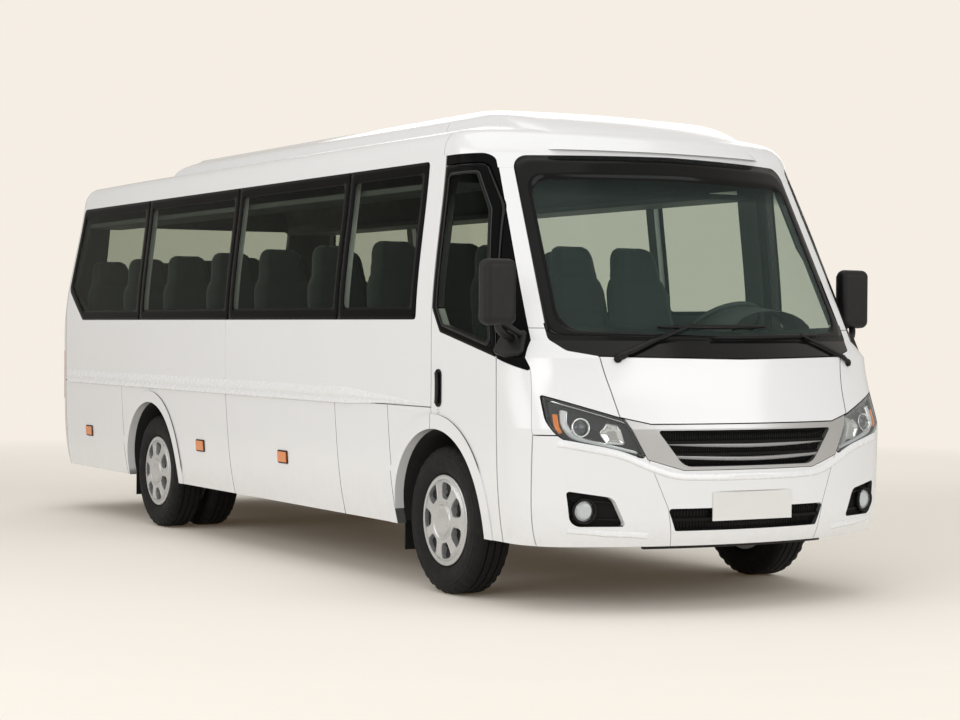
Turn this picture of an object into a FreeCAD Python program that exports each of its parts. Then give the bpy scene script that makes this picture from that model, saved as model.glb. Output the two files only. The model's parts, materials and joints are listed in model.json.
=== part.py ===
import FreeCAD, Part
import math
import os
import Sketcher
from FreeCAD import Placement, Rotation, Vector

# Minibus. Front towards -Y, its right side towards -X, +Z up, millimetres.
# The origin is on the ground below the middle of the body.

doc = FreeCAD.newDocument("minibus")
sheet = doc.addObject("Spreadsheet::Sheet", "sizes")

DIMENSIONS = [
    ("body_length", 7470, "foremost to rearmost point of the body"),
    ("body_width", 2234, "widest part of the sides"),
    ("wheelbase", 4131, "front axle to rear axle"),
    ("front_overhang", 1246, "foremost point to front axle"),
    ("skirt_low", 330, "underside of skirts and bumpers above ground"),
    ("crease_height", 970, "seam between skirts and side walls"),
    ("nose_height", 900, "top of the upright nose"),
    ("bonnet_height", 1240, "upper edge of the bonnet panel"),
    ("cowl_height", 1325, "foot of the windscreen"),
    ("sill_height", 1425, "lower edge of the side window band"),
    ("window_top", 2258, "upper edge of the side window band"),
    ("header_height", 2280, "top of the windscreen"),
    ("gutter_height", 2410, "top of the side walls"),
    ("roof_height", 2475, "flat of the main roof"),
    ("pod_height", 2608, "top of the raised roof pod"),
    ("wall", 45, "thickness of walls, doors and roof"),
    ("glass", 8, "thickness of window glass"),
    ("seam", 6, "gap between neighbouring panels"),
    ("door_gap", 9, "gap round doors and boot lid"),
    ("seat_gap", 0.3, "clearance of a seated piece"),
    ("tuck_in", 42, "skirts lie this far inside the widest part at the bottom"),
    ("lip_setback", 38, "foot of the front bumper behind the foremost point"),
    ("bonnet_setback", 114, "upper bonnet edge behind the foremost point"),
    ("screen_foot_setback", 218, "windscreen foot behind the foremost point"),
    ("screen_top_setback", 762, "windscreen top behind the foremost point"),
    ("shoulder_setback", 905, "front of the roof at gutter height"),
    ("crown_setback", 1180, "front of the flat roof"),
    ("tumblehome", 84, "side walls lean in by this much up to the header"),
    ("shoulder_inset", 150, "roof edge inside the widest part at gutter height"),
    ("crown_inset", 455, "edge of the flat roof inside the widest part"),
    ("rear_tuck", 45, "foot of the rear bumper ahead of the rearmost point"),
    ("rear_lean", 225, "rear face leans forward by this much up to the header"),
    ("rear_shoulder", 300, "rear of the roof at gutter height"),
    ("rear_crown", 480, "rear of the flat roof"),
    ("front_bow", 2050, "plan radius of the front"),
    ("rear_bow", 6000, "plan radius of the rear"),
    ("front_corner", 310, "plan radius of the lower front corners"),
    ("upper_corner", 255, "plan radius of the upper front corners"),
    ("rear_corner", 240, "plan radius of the rear corners"),
    ("arch_radius", 472, "wheel arch opening"),
    ("arch_height", 388, "centre of the wheel arches above ground"),
    ("flare_width", 76, "width of the raised band round an arch"),
    ("flare_proud", 8, "height of the band on the side"),
    ("tyre_radius", 383.5, "loaded tyre, 215/75R17.5"),
    ("tyre_width", 215, "tyre section width"),
    ("rim_radius", 232, "rim flange"),
    ("front_track_half", 960, "centre line to middle of a front tyre"),
    ("twin_spacing", 262, "middle to middle of twin tyres"),
    ("kingpin_half", 850, "centre line to kingpin"),
    ("floor_height", 800, "upper face of the floor"),
    ("floor_plate", 40, "thickness of the floor"),
    ("rear_split", 305, "side walls end this far ahead of the rearmost point"),
    ("cap_seam", 1310, "seam between front cap and roof behind the foremost point"),
    ("pod_seam", 1940, "seam between cap and roof pod behind the foremost point"),
    ("pod_foot", 2300, "level where the pod grows out of the cap"),
    ("pod_half", 700, "half width of the pod at its foot"),
    ("pod_top_inset", 300, "pod edge moves in by this much up to its top"),
    ("pod_front", 745, "pod behind the foremost point at its foot"),
    ("pod_top_front", 1950, "pod behind the foremost point at its top"),
    ("pod_rear", 1180, "pod ahead of the rearmost point at its foot"),
    ("pod_top_rear", 1700, "pod ahead of the rearmost point at its top"),
    ("pod_corner", 150, "plan radius of the pod's corners"),
    ("pod_wall", 25, "thickness of the pod"),
    ("door_rear", 1280, "rear edge of the front doors behind the foremost point"),
    ("door_top", 2222, "top of the front doors"),
    ("door_foot_front", 606, "front edge of the doors at the bottom"),
    ("door_belt_front", 616, "front edge of the doors at the belt"),
    ("door_belt", 1240, "height of the doors' belt at the front edge"),
    ("door_bulge_front", 744, "front edge of the doors at mid window"),
    ("door_bulge_height", 1722, "height of that place"),
    ("door_brow_front", 838, "front edge of the doors under the brow"),
    ("door_brow_height", 2000, "height of the brow's lower end"),
    ("door_top_front", 985, "front edge of the doors at the top"),
    ("door_pane_margin", 2, "door edge to edge of the black window frame"),
    ("door_pane_low_rear", 1478, "lower edge of the door pane at the rear"),
    ("door_pane_dip", 1361, "lower edge of the door pane at its step"),
    ("door_pane_step", 85, "length of that step"),
    ("frame_border", 42, "dark border of a door pane round the clear glass"),
    ("brow", 2278, "lower edge of the front cap above the doors"),
    ("cap_low", 2200, "seam between front cap and front pillars"),
    ("sail_top_front", 980, "dark sail and header round a door, front edge at the brow"),
    ("sail_low_front", 408, "its lower tip"),
    ("sail_low", 1177, "height of that tip"),
    ("pillar_seam", 1383, "height of the seam across a front pillar"),
    ("flange", 45, "width of the sealing flange behind a door's edge"),
    ("flange_thick", 18, "thickness of that flange"),
    ("skirt_thick", 21, "thickness of the skirts"),
    ("front_frame", 30, "thickness of the carrier behind the front panels"),
    ("band_front", 1461, "front end of the window band behind the foremost point"),
    ("band_rear_low", 683, "rear end of the band at the sill, ahead of the rearmost point"),
    ("band_rear_mid", 345, "rear end of the band at its kink"),
    ("band_kink", 1649, "height of the kink"),
    ("band_rear_top", 500, "rear end of the band at the top"),
    ("pane_border", 42, "dark border of a side pane"),
    ("first_pane", 939, "length of the front side pane"),
    ("pane_pitch", 1590, "length of the other side panes"),
    ("corner_round", 55, "rounding of window corners"),
    ("screen_low_half", 924, "half width of the windscreen at its foot"),
    ("screen_top_half", 848, "half width of the windscreen at its top corners"),
    ("screen_corner_height", 2266, "height of its top corners"),
    ("screen_low_corner", 1352, "height of its lower corners"),
    ("screen_border", 48, "dark border of the windscreen"),
    ("cowl_half", 922, "half width of the dark cowl"),
    ("cowl_side_height", 1334, "upper edge of the cowl at its ends"),
    ("cowl_low_half", 872, "half width of the cowl at its lower corner"),
    ("cowl_low", 1278, "height of that corner"),
    ("bonnet_top_half", 740, "half width of the bonnet panel at its top"),
    ("bonnet_mid_half", 708, "half width of the bonnet panel at its crease"),
    ("bonnet_crease", 1081, "height of that crease"),
    ("bonnet_low_half", 692, "half width of the bonnet panel at its foot"),
    ("bonnet_low_side", 958, "foot of the bonnet panel at its ends"),
    ("bonnet_low", 926, "foot of the bonnet panel at the middle"),
    ("lamp_in_top_half", 668, "headlamp inner top corner from the middle"),
    ("lamp_in_top", 945, "its height"),
    ("lamp_out_half", 1021, "headlamp outer corner from the middle"),
    ("lamp_out_top", 1060, "its height"),
    ("lamp_low_out_half", 1021, "headlamp lower outer corner from the middle"),
    ("lamp_low_out", 860, "its height"),
    ("lamp_tip_half", 576, "headlamp inner tip from the middle"),
    ("lamp_tip", 756, "its height"),
    ("lamp_round", 130, "rounding of its lower outer corner"),
    ("grille_top_half", 552, "grille surround at its top"),
    ("grille_ear_half", 676, "grille surround at its ears"),
    ("grille_ear", 950, "height of the ears"),
    ("grille_side_half", 574, "grille surround at its lower outer corner"),
    ("grille_side", 754, "height of that corner"),
    ("grille_low_half", 392, "grille surround at its foot"),
    ("grille_low", 700, "height of its foot"),
    ("mesh_top_half", 528, "grille opening at its top"),
    ("mesh_top", 893, "top of the grille opening"),
    ("mesh_low", 716, "foot of the grille opening"),
    ("mesh_round", 95, "rounding of its lower corners"),
    ("slat", 15, "height of a grille slat"),
    ("slat_depth", 22, "depth of a grille slat"),
    ("bumper_top", 866, "upper edge of the bumper at the sides"),
    ("bumper_seam_top", 339, "side end of the bumper at its top, behind the foremost point"),
    ("bumper_seam_low", 362, "side end of the bumper at its foot"),
    ("intake_top_half", 472, "lower intake at its top"),
    ("intake_low_half", 429, "lower intake at its foot"),
    ("intake_top", 514, "top of the lower intake"),
    ("intake_low", 404, "foot of the lower intake"),
    ("plate_half", 240, "half width of the blank front plate"),
    ("plate_low", 450, "foot of the plate"),
    ("plate_top", 589, "top of the plate"),
    ("plate_thick", 6, "thickness of the plate"),
    ("plate_pocket", 14, "depth of the pocket for the plate"),
    ("fog_out_top_half", 946, "fog lamp recess, outer top corner from the middle"),
    ("fog_top", 603, "its height"),
    ("fog_out_low_half", 925, "recess, outer lower corner from the middle"),
    ("fog_low", 430, "its height"),
    ("fog_in_top_half", 735, "recess, inner top corner from the middle"),
    ("fog_in_top", 570, "its height"),
    ("fog_in_low_half", 672, "recess, inner lower corner from the middle"),
    ("fog_half", 861, "middle of a fog lamp"),
    ("fog_height", 505, "its height"),
    ("fog_radius", 45, "radius of a fog lamp"),
    ("rear_window_half", 800, "half width of the rear window"),
    ("rear_window_low", 1470, "foot of the rear window"),
    ("rear_window_top", 2190, "top of the rear window"),
    ("boot_half", 760, "half width of the boot lid"),
    ("boot_low", 650, "foot of the boot lid"),
    ("boot_top", 1370, "top of the boot lid"),
    ("rear_bumper_top", 590, "top of the rear bumper"),
    ("tail_half", 960, "inner edge of a tail lamp from the middle"),
    ("tail_low", 826, "foot of a tail lamp"),
    ("tail_top", 1195, "top of a tail lamp"),
    ("tail_deep", 30, "depth of a tail lamp"),
    ("marker_height", 607, "middle of the side markers"),
    ("marker_long", 120, "length of a side marker"),
    ("marker_tall", 62, "height of a side marker"),
    ("marker_proud", 12, "height of a side marker on the skirt"),
    ("rail_half", 420, "centre line to middle of a chassis rail"),
    ("rail_wide", 70, "width of a chassis rail"),
    ("rail_tall", 190, "height of a chassis rail"),
    ("rail_front", 130, "rails begin this far behind the foremost point"),
    ("cross_tall", 110, "height of a cross member"),
    ("cross_wide", 60, "width of a cross member"),
    ("spring_half", 492, "centre line to middle of a leaf spring"),
    ("spring_wide", 70, "width of the leaf springs"),
    ("spring_thick", 45, "thickness of a spring pack at the axle"),
    ("spring_half_length", 560, "axle to spring eye"),
    ("axle_beam", 80, "height and depth of the front axle beam"),
    ("axle_tube_radius", 62, "radius of the rear axle tube"),
    ("differential_radius", 170, "radius of the rear axle's round housing"),
    ("kingpin_radius", 30, "radius of a kingpin boss"),
    ("kingpin_tall", 130, "height of a kingpin boss"),
    ("knuckle_plate", 26, "thickness of a knuckle's ears"),
    ("spindle_radius", 34, "radius of a front spindle"),
    ("hub_radius", 82, "radius of a wheel hub"),
    ("steer_gap", 6, "running gap round a kingpin boss"),
    ("engine_long", 820, "engine, length"),
    ("engine_wide", 560, "engine, width"),
    ("engine_tall", 340, "engine, height"),
    ("engine_front", 330, "engine behind the foremost point"),
    ("engine_low", 400, "underside of the engine above ground"),
    ("tank_long", 900, "fuel tank, length"),
    ("tank_wide", 380, "fuel tank, width"),
    ("tank_tall", 330, "fuel tank, height"),
    ("tank_front", 2900, "fuel tank behind the foremost point"),
    ("shaft_radius", 45, "radius of the propeller shaft"),
    ("pipe_radius", 32, "radius of the exhaust pipe"),
    ("muffler_radius", 110, "radius of the silencer"),
    ("muffler_long", 800, "length of the silencer"),
    ("liner", 12, "thickness of a wheel housing"),
    ("liner_inner_half", 600, "inner face of the front wheel housings"),
    ("flap_wide", 300, "width of a mud flap"),
    ("flap_thick", 8, "thickness of a mud flap"),
    ("flap_low", 185, "foot of a mud flap above ground"),
    ("dash_front", 330, "dashboard behind the foremost point"),
    ("dash_deep", 400, "depth of the dashboard"),
    ("dash_top", 1330, "top of the dashboard"),
    ("dash_low", 1010, "foot of the dashboard"),
    ("wheel_side", 450, "steering wheel left of the centre line"),
    ("wheel_height", 1405, "middle of the steering wheel above ground"),
    ("wheel_setback", 870, "middle of the steering wheel behind the foremost point"),
    ("wheel_ring", 215, "steering wheel radius"),
    ("wheel_grip", 15, "steering wheel grip radius"),
    ("wheel_rake", 35, "steering wheel plane above level, degrees"),
    ("column_radius", 28, "radius of the steering column"),
    ("seat_wide", 415, "width of a seat"),
    ("seat_pitch", 790, "seat row to seat row"),
    ("seat_deep", 430, "depth of a seat cushion"),
    ("seat_cushion", 110, "thickness of a seat cushion"),
    ("seat_up", 430, "seat cushion top above the floor"),
    ("seat_back_tall", 690, "height of a seat back above its cushion"),
    ("seat_back_thick", 105, "thickness of a seat back"),
    ("seat_lean", 150, "lean of a seat back"),
    ("seat_window_gap", 60, "seat to side wall"),
    ("first_row", 2371, "first passenger seat back's top behind the foremost point"),
    ("driver_row", 1810, "driver's seat back's top behind the foremost point"),
    ("rack_height", 2120, "underside of the luggage racks"),
    ("rack_deep", 290, "depth of a luggage rack"),
    ("rack_thick", 30, "thickness of a luggage rack"),
    ("mirror_wide", 182, "width of a mirror head"),
    ("mirror_tall", 318, "height of a mirror head"),
    ("mirror_deep", 95, "depth of a mirror head"),
    ("mirror_round", 38, "rounding of a mirror head"),
    ("mirror_half", 1238, "right mirror's middle from the centre line"),
    ("mirror_setback", 395, "its middle behind the foremost point"),
    ("door_mirror_half", 1225, "left mirror's middle from the centre line"),
    ("door_mirror_setback", 745, "its middle behind the foremost point"),
    ("mirror_height", 1556, "its middle above ground"),
    ("arm_radius", 15, "radius of a mirror arm"),
    ("wiper_length", 640, "length of a wiper blade"),
    ("arm_long", 165, "kingpin to the end of a steering arm"),
    ("rod_radius", 14, "radius of the track rod"),
    ("overrun", 60, "how far a cutting tool passes its work"),
]


def fill_sheet():
    for row, (alias, value, meaning) in enumerate(DIMENSIONS, start=1):
        sheet.set(f"A{row}", meaning)
        sheet.set(f"B{row}", str(value))
        sheet.setAlias(f"B{row}", alias)
    doc.recompute()


class Sizes:
    """The sheet's values by name."""

    def __getattr__(self, alias):
        return float(sheet.get(alias))


fill_sheet()
mm = Sizes()
HALF = mm.body_width / 2
FRONT = -mm.body_length / 2
REAR = mm.body_length / 2
FRONT_AXLE = FRONT + mm.front_overhang
REAR_AXLE = FRONT_AXLE + mm.wheelbase


# Helpers for shapes

def mirrored(shape):
    return shape.mirror(Vector(0, 0, 0), Vector(1, 0, 0))


def box(x_low, x_high, y_low, y_high, z_low, z_high):
    corner = Vector(x_low, y_low, z_low)
    return Part.makeBox(x_high - x_low, y_high - y_low, z_high - z_low, corner)


def rounded_wire(corners):
    """Closed wire in a plane through corners (point, radius), an arc at each radius."""
    points = [Vector(*corner[0]) for corner in corners]
    edges = []
    starts = []
    ends = []
    mids = []
    for index, (point, radius) in enumerate(corners):
        here = points[index]
        before = (points[index - 1] - here).normalize()
        after = (points[(index + 1) % len(points)] - here).normalize()
        if radius == 0:
            starts.append(here)
            ends.append(here)
            mids.append(None)
            continue
        half_turn = before.getAngle(after) / 2
        reach = radius / math.tan(half_turn)
        middle = (before + after).normalize()
        centre = here + middle * (radius / math.sin(half_turn))
        starts.append(here + before * reach)
        ends.append(here + after * reach)
        mids.append(centre - middle * radius)
    for index in range(len(corners)):
        if mids[index] is not None:
            arc = Part.Arc(starts[index], mids[index], ends[index])
            edges.append(arc.toShape())
        following = (index + 1) % len(corners)
        edges.append(Part.makeLine(ends[index], starts[following]))
    return Part.Wire(edges)


def side_outline(corners):
    """Outline seen from the side: (y, z, radius) for each corner."""
    return rounded_wire([((0, y, z), radius) for y, z, radius in corners])


def front_outline(corners):
    """Outline seen from the front: (x, z, radius) for each corner."""
    return rounded_wire([((x, 0, z), radius) for x, z, radius in corners])


def side_prism(wire, inner=0.0, outer=None):
    """Prism of a side outline on the right side, from inner to outer distance."""
    reach = HALF + mm.overrun if outer is None else outer
    face = Part.Face(wire.translated(Vector(-reach, 0, 0)))
    return face.extrude(Vector(reach - inner, 0, 0))


def front_prism(wire, y_low, y_high):
    face = Part.Face(wire.translated(Vector(0, y_low, 0)))
    return face.extrude(Vector(0, y_high - y_low, 0))


def grown(wire, margin):
    return wire.makeOffset2D(margin)


def add_feature(label, shape):
    feature = doc.addObject("Part::Feature", label)
    feature.Label = label
    feature.Shape = shape
    return feature


# Outer skin of the body

class Station:
    """One level outline of the skin."""

    def __init__(self, z, front, side, rear, corner):
        self.z = z
        self.front = front
        self.side = side
        self.rear = rear
        self.corner = corner

    def wire(self, inset, level=None):
        z = self.z if level is None else level
        half = HALF - self.side - inset
        front = FRONT + self.front + inset
        rear = REAR - self.rear - inset
        ahead = corner_points(half, front, mm.front_bow - inset, self.corner - inset, 1)
        behind = corner_points(half, rear, mm.rear_bow - inset, mm.rear_corner - inset, -1)
        return outline_wire(ahead, behind, front, rear, z)


def corner_points(half, end, bow, corner, way):
    """Points where the bow meets the corner arc, the arc's middle, and the side."""
    across = half - corner
    along = math.sqrt((bow - corner) ** 2 - across ** 2)
    centre_y = end + way * (bow - along)
    scale = bow / (bow - corner)
    join = (across * scale, end + way * (bow - along * scale))
    start_angle = math.atan2(along, across)
    middle_angle = start_angle / 2
    middle = (across + corner * math.cos(middle_angle),
              centre_y - way * corner * math.sin(middle_angle))
    return join, middle, (half, centre_y)


def outline_wire(ahead, behind, front, rear, z):
    def arc(first, second, third):
        return Part.Arc(Vector(*first, z), Vector(*second, z), Vector(*third, z)).toShape()

    def other(point):
        return (-point[0], point[1])

    join_a, middle_a, side_a = ahead
    join_b, middle_b, side_b = behind
    edges = [
        arc(other(join_a), (0, front), join_a),
        arc(join_a, middle_a, side_a),
        Part.makeLine(Vector(*side_a, z), Vector(*side_b, z)),
        arc(side_b, middle_b, join_b),
        arc(join_b, (0, rear), other(join_b)),
        arc(other(join_b), other(middle_b), other(side_b)),
        Part.makeLine(Vector(*other(side_b), z), Vector(*other(side_a), z)),
        arc(other(side_a), other(middle_a), other(join_a)),
    ]
    return Part.Wire(edges)


def between(low, high, share):
    return low + (high - low) * share


# Shares of each zone: height, front setback, side inset, rear setback, corner radius.
LOWER_SHARES = [(0, 1, 1, 1), (0.12, 0.35, 0.72, 0.5), (0.4, 0, 0.3, 0.1),
                (0.7, 0, 0.1, 0.02), (1, 0, 0.02, 0)]
NOSE_SHARES = [(0, 0), (0.2, 0.25), (0.54, 0.66), (1, 1)]
UPPER_SHARES = [(0, 0, 0, 0), (0.12, 0.12, 0.01, 0.05), (0.5, 0.5, 0.38, 0.4), (1, 1, 1, 1)]
SHOULDER_SHARES = [(0, 0, 0, 0), (0.45, 0.22, 0.16, 0.14), (0.8, 0.6, 0.52, 0.5), (1, 1, 1, 1)]


def skin_zones():
    lower = []
    for up, front, side, rear in LOWER_SHARES:
        z = between(mm.skirt_low, mm.nose_height, up)
        station = Station(z, mm.lip_setback * front, mm.tuck_in * side, mm.rear_tuck * rear,
                          mm.front_corner)
        lower.append(station)
    inset = mm.tuck_in * LOWER_SHARES[-1][2]
    nose = []
    for up, front in NOSE_SHARES:
        z = between(mm.nose_height, mm.bonnet_height, up)
        side = inset * (1 - up)
        nose.append(Station(z, mm.bonnet_setback * front, side, 0, mm.front_corner))
    foot = Station(mm.cowl_height, mm.screen_foot_setback, 0, 0, mm.front_corner)
    upper = []
    for up, front, side, rear in UPPER_SHARES:
        z = between(mm.cowl_height, mm.header_height, up)
        setback = between(mm.screen_foot_setback, mm.screen_top_setback, front)
        corner = between(mm.front_corner, mm.upper_corner, up)
        upper.append(Station(z, setback, mm.tumblehome * side, mm.rear_lean * rear, corner))
    shoulder = []
    for up, front, side, rear in SHOULDER_SHARES:
        z = between(mm.header_height, mm.gutter_height, up)
        setback = between(mm.screen_top_setback, mm.shoulder_setback, front)
        inward = between(mm.tumblehome, mm.shoulder_inset, side)
        backward = between(mm.rear_lean, mm.rear_shoulder, rear)
        shoulder.append(Station(z, setback, inward, backward, mm.upper_corner))
    crown = Station(mm.roof_height, mm.crown_setback, mm.crown_inset, mm.rear_crown,
                    mm.upper_corner)
    return [(lower, False), (nose, False), ([nose[-1], foot], True), (upper, False),
            (shoulder, False), ([shoulder[-1], crown], True)]


def closed_solid(zones, levels):
    """Solid from lofted zones of wires, closed by its first and last outline."""
    faces = []
    for (stations, ruled), wires in zip(zones, levels):
        faces += Part.makeLoft(wires, False, ruled).Faces
    faces.append(Part.Face(levels[0][0]))
    faces.append(Part.Face(levels[-1][-1]))
    compound = Part.makeCompound(faces)
    compound.sewShape()
    solid = Part.makeSolid(compound.Shells[0])
    if solid.Volume < 0:
        solid.reverse()
    return solid


def skin(inset=0.0, under=0.0):
    """The body as one solid, its skin moved in by inset and its foot lowered by under."""
    zones = skin_zones()
    head_share = 1 - inset / (mm.roof_height - mm.header_height)
    levels = []
    for stations, ruled in zones:
        wires = []
        for station in stations:
            level = station.z
            if level > mm.header_height:
                level = mm.header_height + (level - mm.header_height) * head_share
            wires.append(station.wire(inset, level))
        levels.append(wires)
    if under > 0:
        foot = zones[0][0][0]
        zones.insert(0, ([foot, foot], True))
        levels.insert(0, [foot.wire(inset, foot.z - under), foot.wire(inset)])
    return closed_solid(zones, levels)


OUTER = skin()
INNER = skin(mm.wall, mm.overrun)
PANE_BACK = skin(mm.glass)
REBATE_BACK = skin(mm.glass + mm.seat_gap)
SHELL = OUTER.cut(INNER)
SEATED = skin(mm.wall + mm.seat_gap, mm.overrun)
BEYOND = HALF + mm.overrun
ABOVE = mm.pod_height + mm.overrun
PIECES = []


def keep(label, shape):
    """Adds a finished piece that is written as a node of its own."""
    PIECES.append(add_feature(label, shape))


def largest(shape, count):
    """The count largest solids, without the slivers that a cut leaves."""
    solids = sorted(shape.Solids, key=lambda solid: -solid.Volume)
    return Part.makeCompound(solids[:count])


def pane(block):
    """Glass flush with the skin inside a block."""
    return block.common(OUTER).cut(PANE_BACK)


def rebate(block):
    """Room that a pane takes out of the wall behind it."""
    return block.cut(REBATE_BACK)


def pair(label, right):
    keep(label + "_right", right)
    keep(label + "_left", mirrored(right))


def both(label, right):
    """One node that holds the right piece and its mirror image."""
    keep(label, Part.makeCompound([right, mirrored(right)]))


# Roof, pod and front cap

POD_SHARES = [(0, 0, 0, 0), (0.325, 0.11, 0.03, 0), (0.55, 0.23, 0.08, 0.02),
              (0.724, 0.4, 0.17, 0.2), (0.893, 0.7, 0.47, 0.52), (1, 1, 1, 1)]


def pod(inset=0.0):
    stations = []
    for up, front, side, rear in POD_SHARES:
        z = between(mm.pod_foot, mm.pod_height - inset, up)
        setback = between(mm.pod_front, mm.pod_top_front, front)
        inward = HALF - mm.pod_half + mm.pod_top_inset * side
        backward = between(mm.pod_rear, mm.pod_top_rear, rear)
        stations.append(Station(z, setback, inward, backward, mm.pod_corner))
    wires = [station.wire(inset) for station in stations]
    zones = [(stations[:-1], False), (stations[-2:], True)]
    return closed_solid(zones, [wires[:-1], wires[-2:]])


def build_roof():
    cap_end = FRONT + mm.cap_seam
    pod_end = FRONT + mm.pod_seam
    pod_full = pod()
    pod_hollow = pod(mm.pod_wall)
    crown = SHELL.common(box(-BEYOND, BEYOND, cap_end + mm.seam, REAR + mm.overrun,
                             mm.gutter_height + mm.seat_gap, ABOVE))
    keep("roof", crown)
    pod_shell = pod_full.cut(OUTER).cut(pod_hollow)
    keep("roof_pod", pod_shell.common(box(-BEYOND, BEYOND, pod_end + mm.seam, REAR,
                                          mm.pod_foot, ABOVE)))
    behind = box(-BEYOND, BEYOND, cap_end, REAR, mm.pod_foot, mm.gutter_height * 2)
    nose = pod_full.fuse(OUTER.cut(behind)).cut(INNER).cut(pod_hollow)
    tongue = pod_shell.common(box(-BEYOND, BEYOND, cap_end, pod_end, mm.pod_foot, ABOVE))
    front = nose.common(box(-BEYOND, BEYOND, FRONT - mm.overrun, cap_end,
                            mm.cap_low + mm.seat_gap, ABOVE))
    return front.fuse(tongue)


# Outlines seen from the side and from the front

def door_outline():
    """Front door: rear edge, top, raked front edge, foot."""
    back = FRONT + mm.door_rear
    return side_outline([
        (back, mm.skirt_low - mm.overrun, 0),
        (back, mm.door_top, mm.corner_round / 4),
        (FRONT + mm.door_top_front, mm.door_top, mm.corner_round),
        (FRONT + mm.door_brow_front, mm.door_brow_height, mm.corner_round * 4),
        (FRONT + mm.door_bulge_front, mm.door_bulge_height, mm.corner_round * 4),
        (FRONT + mm.door_belt_front, mm.door_belt, mm.corner_round),
        (FRONT + mm.door_foot_front, mm.skirt_low - mm.overrun, 0),
    ])


def door_pane_outline():
    """Black framed pane in the upper part of a front door."""
    edge = mm.door_pane_margin
    back = FRONT + mm.door_rear - edge
    return side_outline([
        (back, mm.door_pane_low_rear, mm.corner_round),
        (back, mm.door_top - edge, mm.corner_round / 4),
        (FRONT + mm.door_top_front, mm.door_top - edge, mm.corner_round),
        (FRONT + mm.door_brow_front + edge, mm.door_brow_height, mm.corner_round * 4),
        (FRONT + mm.door_bulge_front + edge, mm.door_bulge_height, mm.corner_round * 4),
        (FRONT + mm.door_belt_front + edge, mm.door_belt, 0),
        (back - mm.door_pane_step, mm.door_pane_dip, mm.corner_round / 2),
    ])


def sail_outline(end):
    """Dark header above a door and sail ahead of it, as far back as end."""
    return side_outline([
        (end, mm.brow, 0),
        (FRONT + mm.sail_top_front, mm.brow, mm.corner_round * 1.5),
        (FRONT + mm.sail_low_front, mm.sail_low, mm.corner_round / 8),
        (FRONT + mm.door_belt_front, mm.door_belt, 0),
        (end, mm.door_belt, 0),
    ])


def wing_space(margin):
    """Region ahead of the seam between front wing and strip, grown by margin."""
    ahead_of_all = FRONT - mm.overrun
    return side_outline([
        (ahead_of_all, mm.bumper_top, 0),
        (FRONT + mm.bumper_seam_top + margin, mm.bumper_top, 0),
        (FRONT + mm.sail_low_front + margin, mm.sail_low, 0),
        (FRONT + mm.sail_top_front + mm.wall + margin, mm.brow, 0),
        (FRONT + mm.door_rear, mm.gutter_height, 0),
        (ahead_of_all, mm.gutter_height, 0),
    ])


def screen_outline():
    return symmetric_outline([
        (0, mm.header_height, 0),
        (-mm.screen_top_half, mm.screen_corner_height, mm.corner_round * 1.5),
        (-mm.screen_low_half, mm.screen_low_corner, mm.corner_round / 4),
        (0, mm.cowl_height, 0),
    ])


def symmetric_outline(half):
    """Front outline from the corners of its one side, from the top down."""
    other = [(-x, z, radius) for x, z, radius in reversed(half) if x != 0]
    return front_outline(list(half) + other)


def cowl_outline():
    return symmetric_outline([
        (-mm.cowl_half, mm.cowl_side_height + mm.screen_border * 1.5, 0),
        (-mm.cowl_half, mm.cowl_side_height, mm.corner_round / 2),
        (-mm.cowl_low_half, mm.cowl_low, mm.corner_round / 2),
        (-mm.bonnet_top_half, mm.bonnet_height + mm.seam * 2, 0),
        (0, mm.bonnet_height, 0),
    ])


def bonnet_outline():
    return symmetric_outline([
        (0, mm.bonnet_height - mm.seam, 0),
        (-mm.bonnet_top_half, mm.bonnet_height + mm.seam, 0),
        (-mm.bonnet_mid_half, mm.bonnet_crease, 0),
        (-mm.bonnet_low_half, mm.bonnet_low_side, 0),
        (-mm.grille_top_half, mm.bonnet_low, 0),
        (0, mm.bonnet_low, 0),
    ])


def grille_outline():
    return symmetric_outline([
        (-mm.grille_top_half, mm.bonnet_low - mm.seam, 0),
        (-mm.grille_ear_half, mm.grille_ear, 0),
        (-mm.grille_side_half, mm.grille_side, 0),
        (-mm.grille_low_half, mm.grille_low, mm.corner_round),
    ])


def mesh_outline():
    return symmetric_outline([
        (-mm.mesh_top_half, mm.mesh_top, mm.corner_round / 6),
        (-mm.grille_low_half, mm.mesh_low, mm.mesh_round),
    ])


def lamp_outline(side):
    return front_outline([
        (side * mm.lamp_in_top_half, mm.lamp_in_top, mm.corner_round),
        (side * mm.lamp_out_half, mm.lamp_out_top, mm.corner_round / 8),
        (side * mm.lamp_low_out_half, mm.lamp_low_out, mm.lamp_round),
        (side * mm.lamp_tip_half, mm.lamp_tip, mm.corner_round / 4),
    ])


def intake_outline():
    return symmetric_outline([
        (-mm.intake_top_half, mm.intake_top, mm.corner_round / 4),
        (-mm.intake_low_half, mm.intake_low, mm.corner_round / 4),
    ])


def fog_outline(side):
    return front_outline([
        (side * mm.fog_in_top_half, mm.fog_in_top, mm.corner_round),
        (side * mm.fog_out_top_half, mm.fog_top, mm.corner_round / 4),
        (side * mm.fog_out_low_half, mm.fog_low, mm.corner_round),
        (side * mm.fog_in_low_half, mm.fog_low, mm.corner_round / 4),
    ])


def arch_cylinder(axle, radius, inner=0.0):
    """Solid cylinder across the right side about a wheel arch."""
    start = Vector(-BEYOND, axle, mm.arch_height)
    return Part.makeCylinder(radius, BEYOND - inner, start, Vector(1, 0, 0))


FLARE_SKIN = skin(-mm.flare_proud, mm.overrun)
ARCH_DEPTH = HALF / 2
# Half width inside which neither doors nor front corners reach.
CAB_SHARE = 0.72


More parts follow.
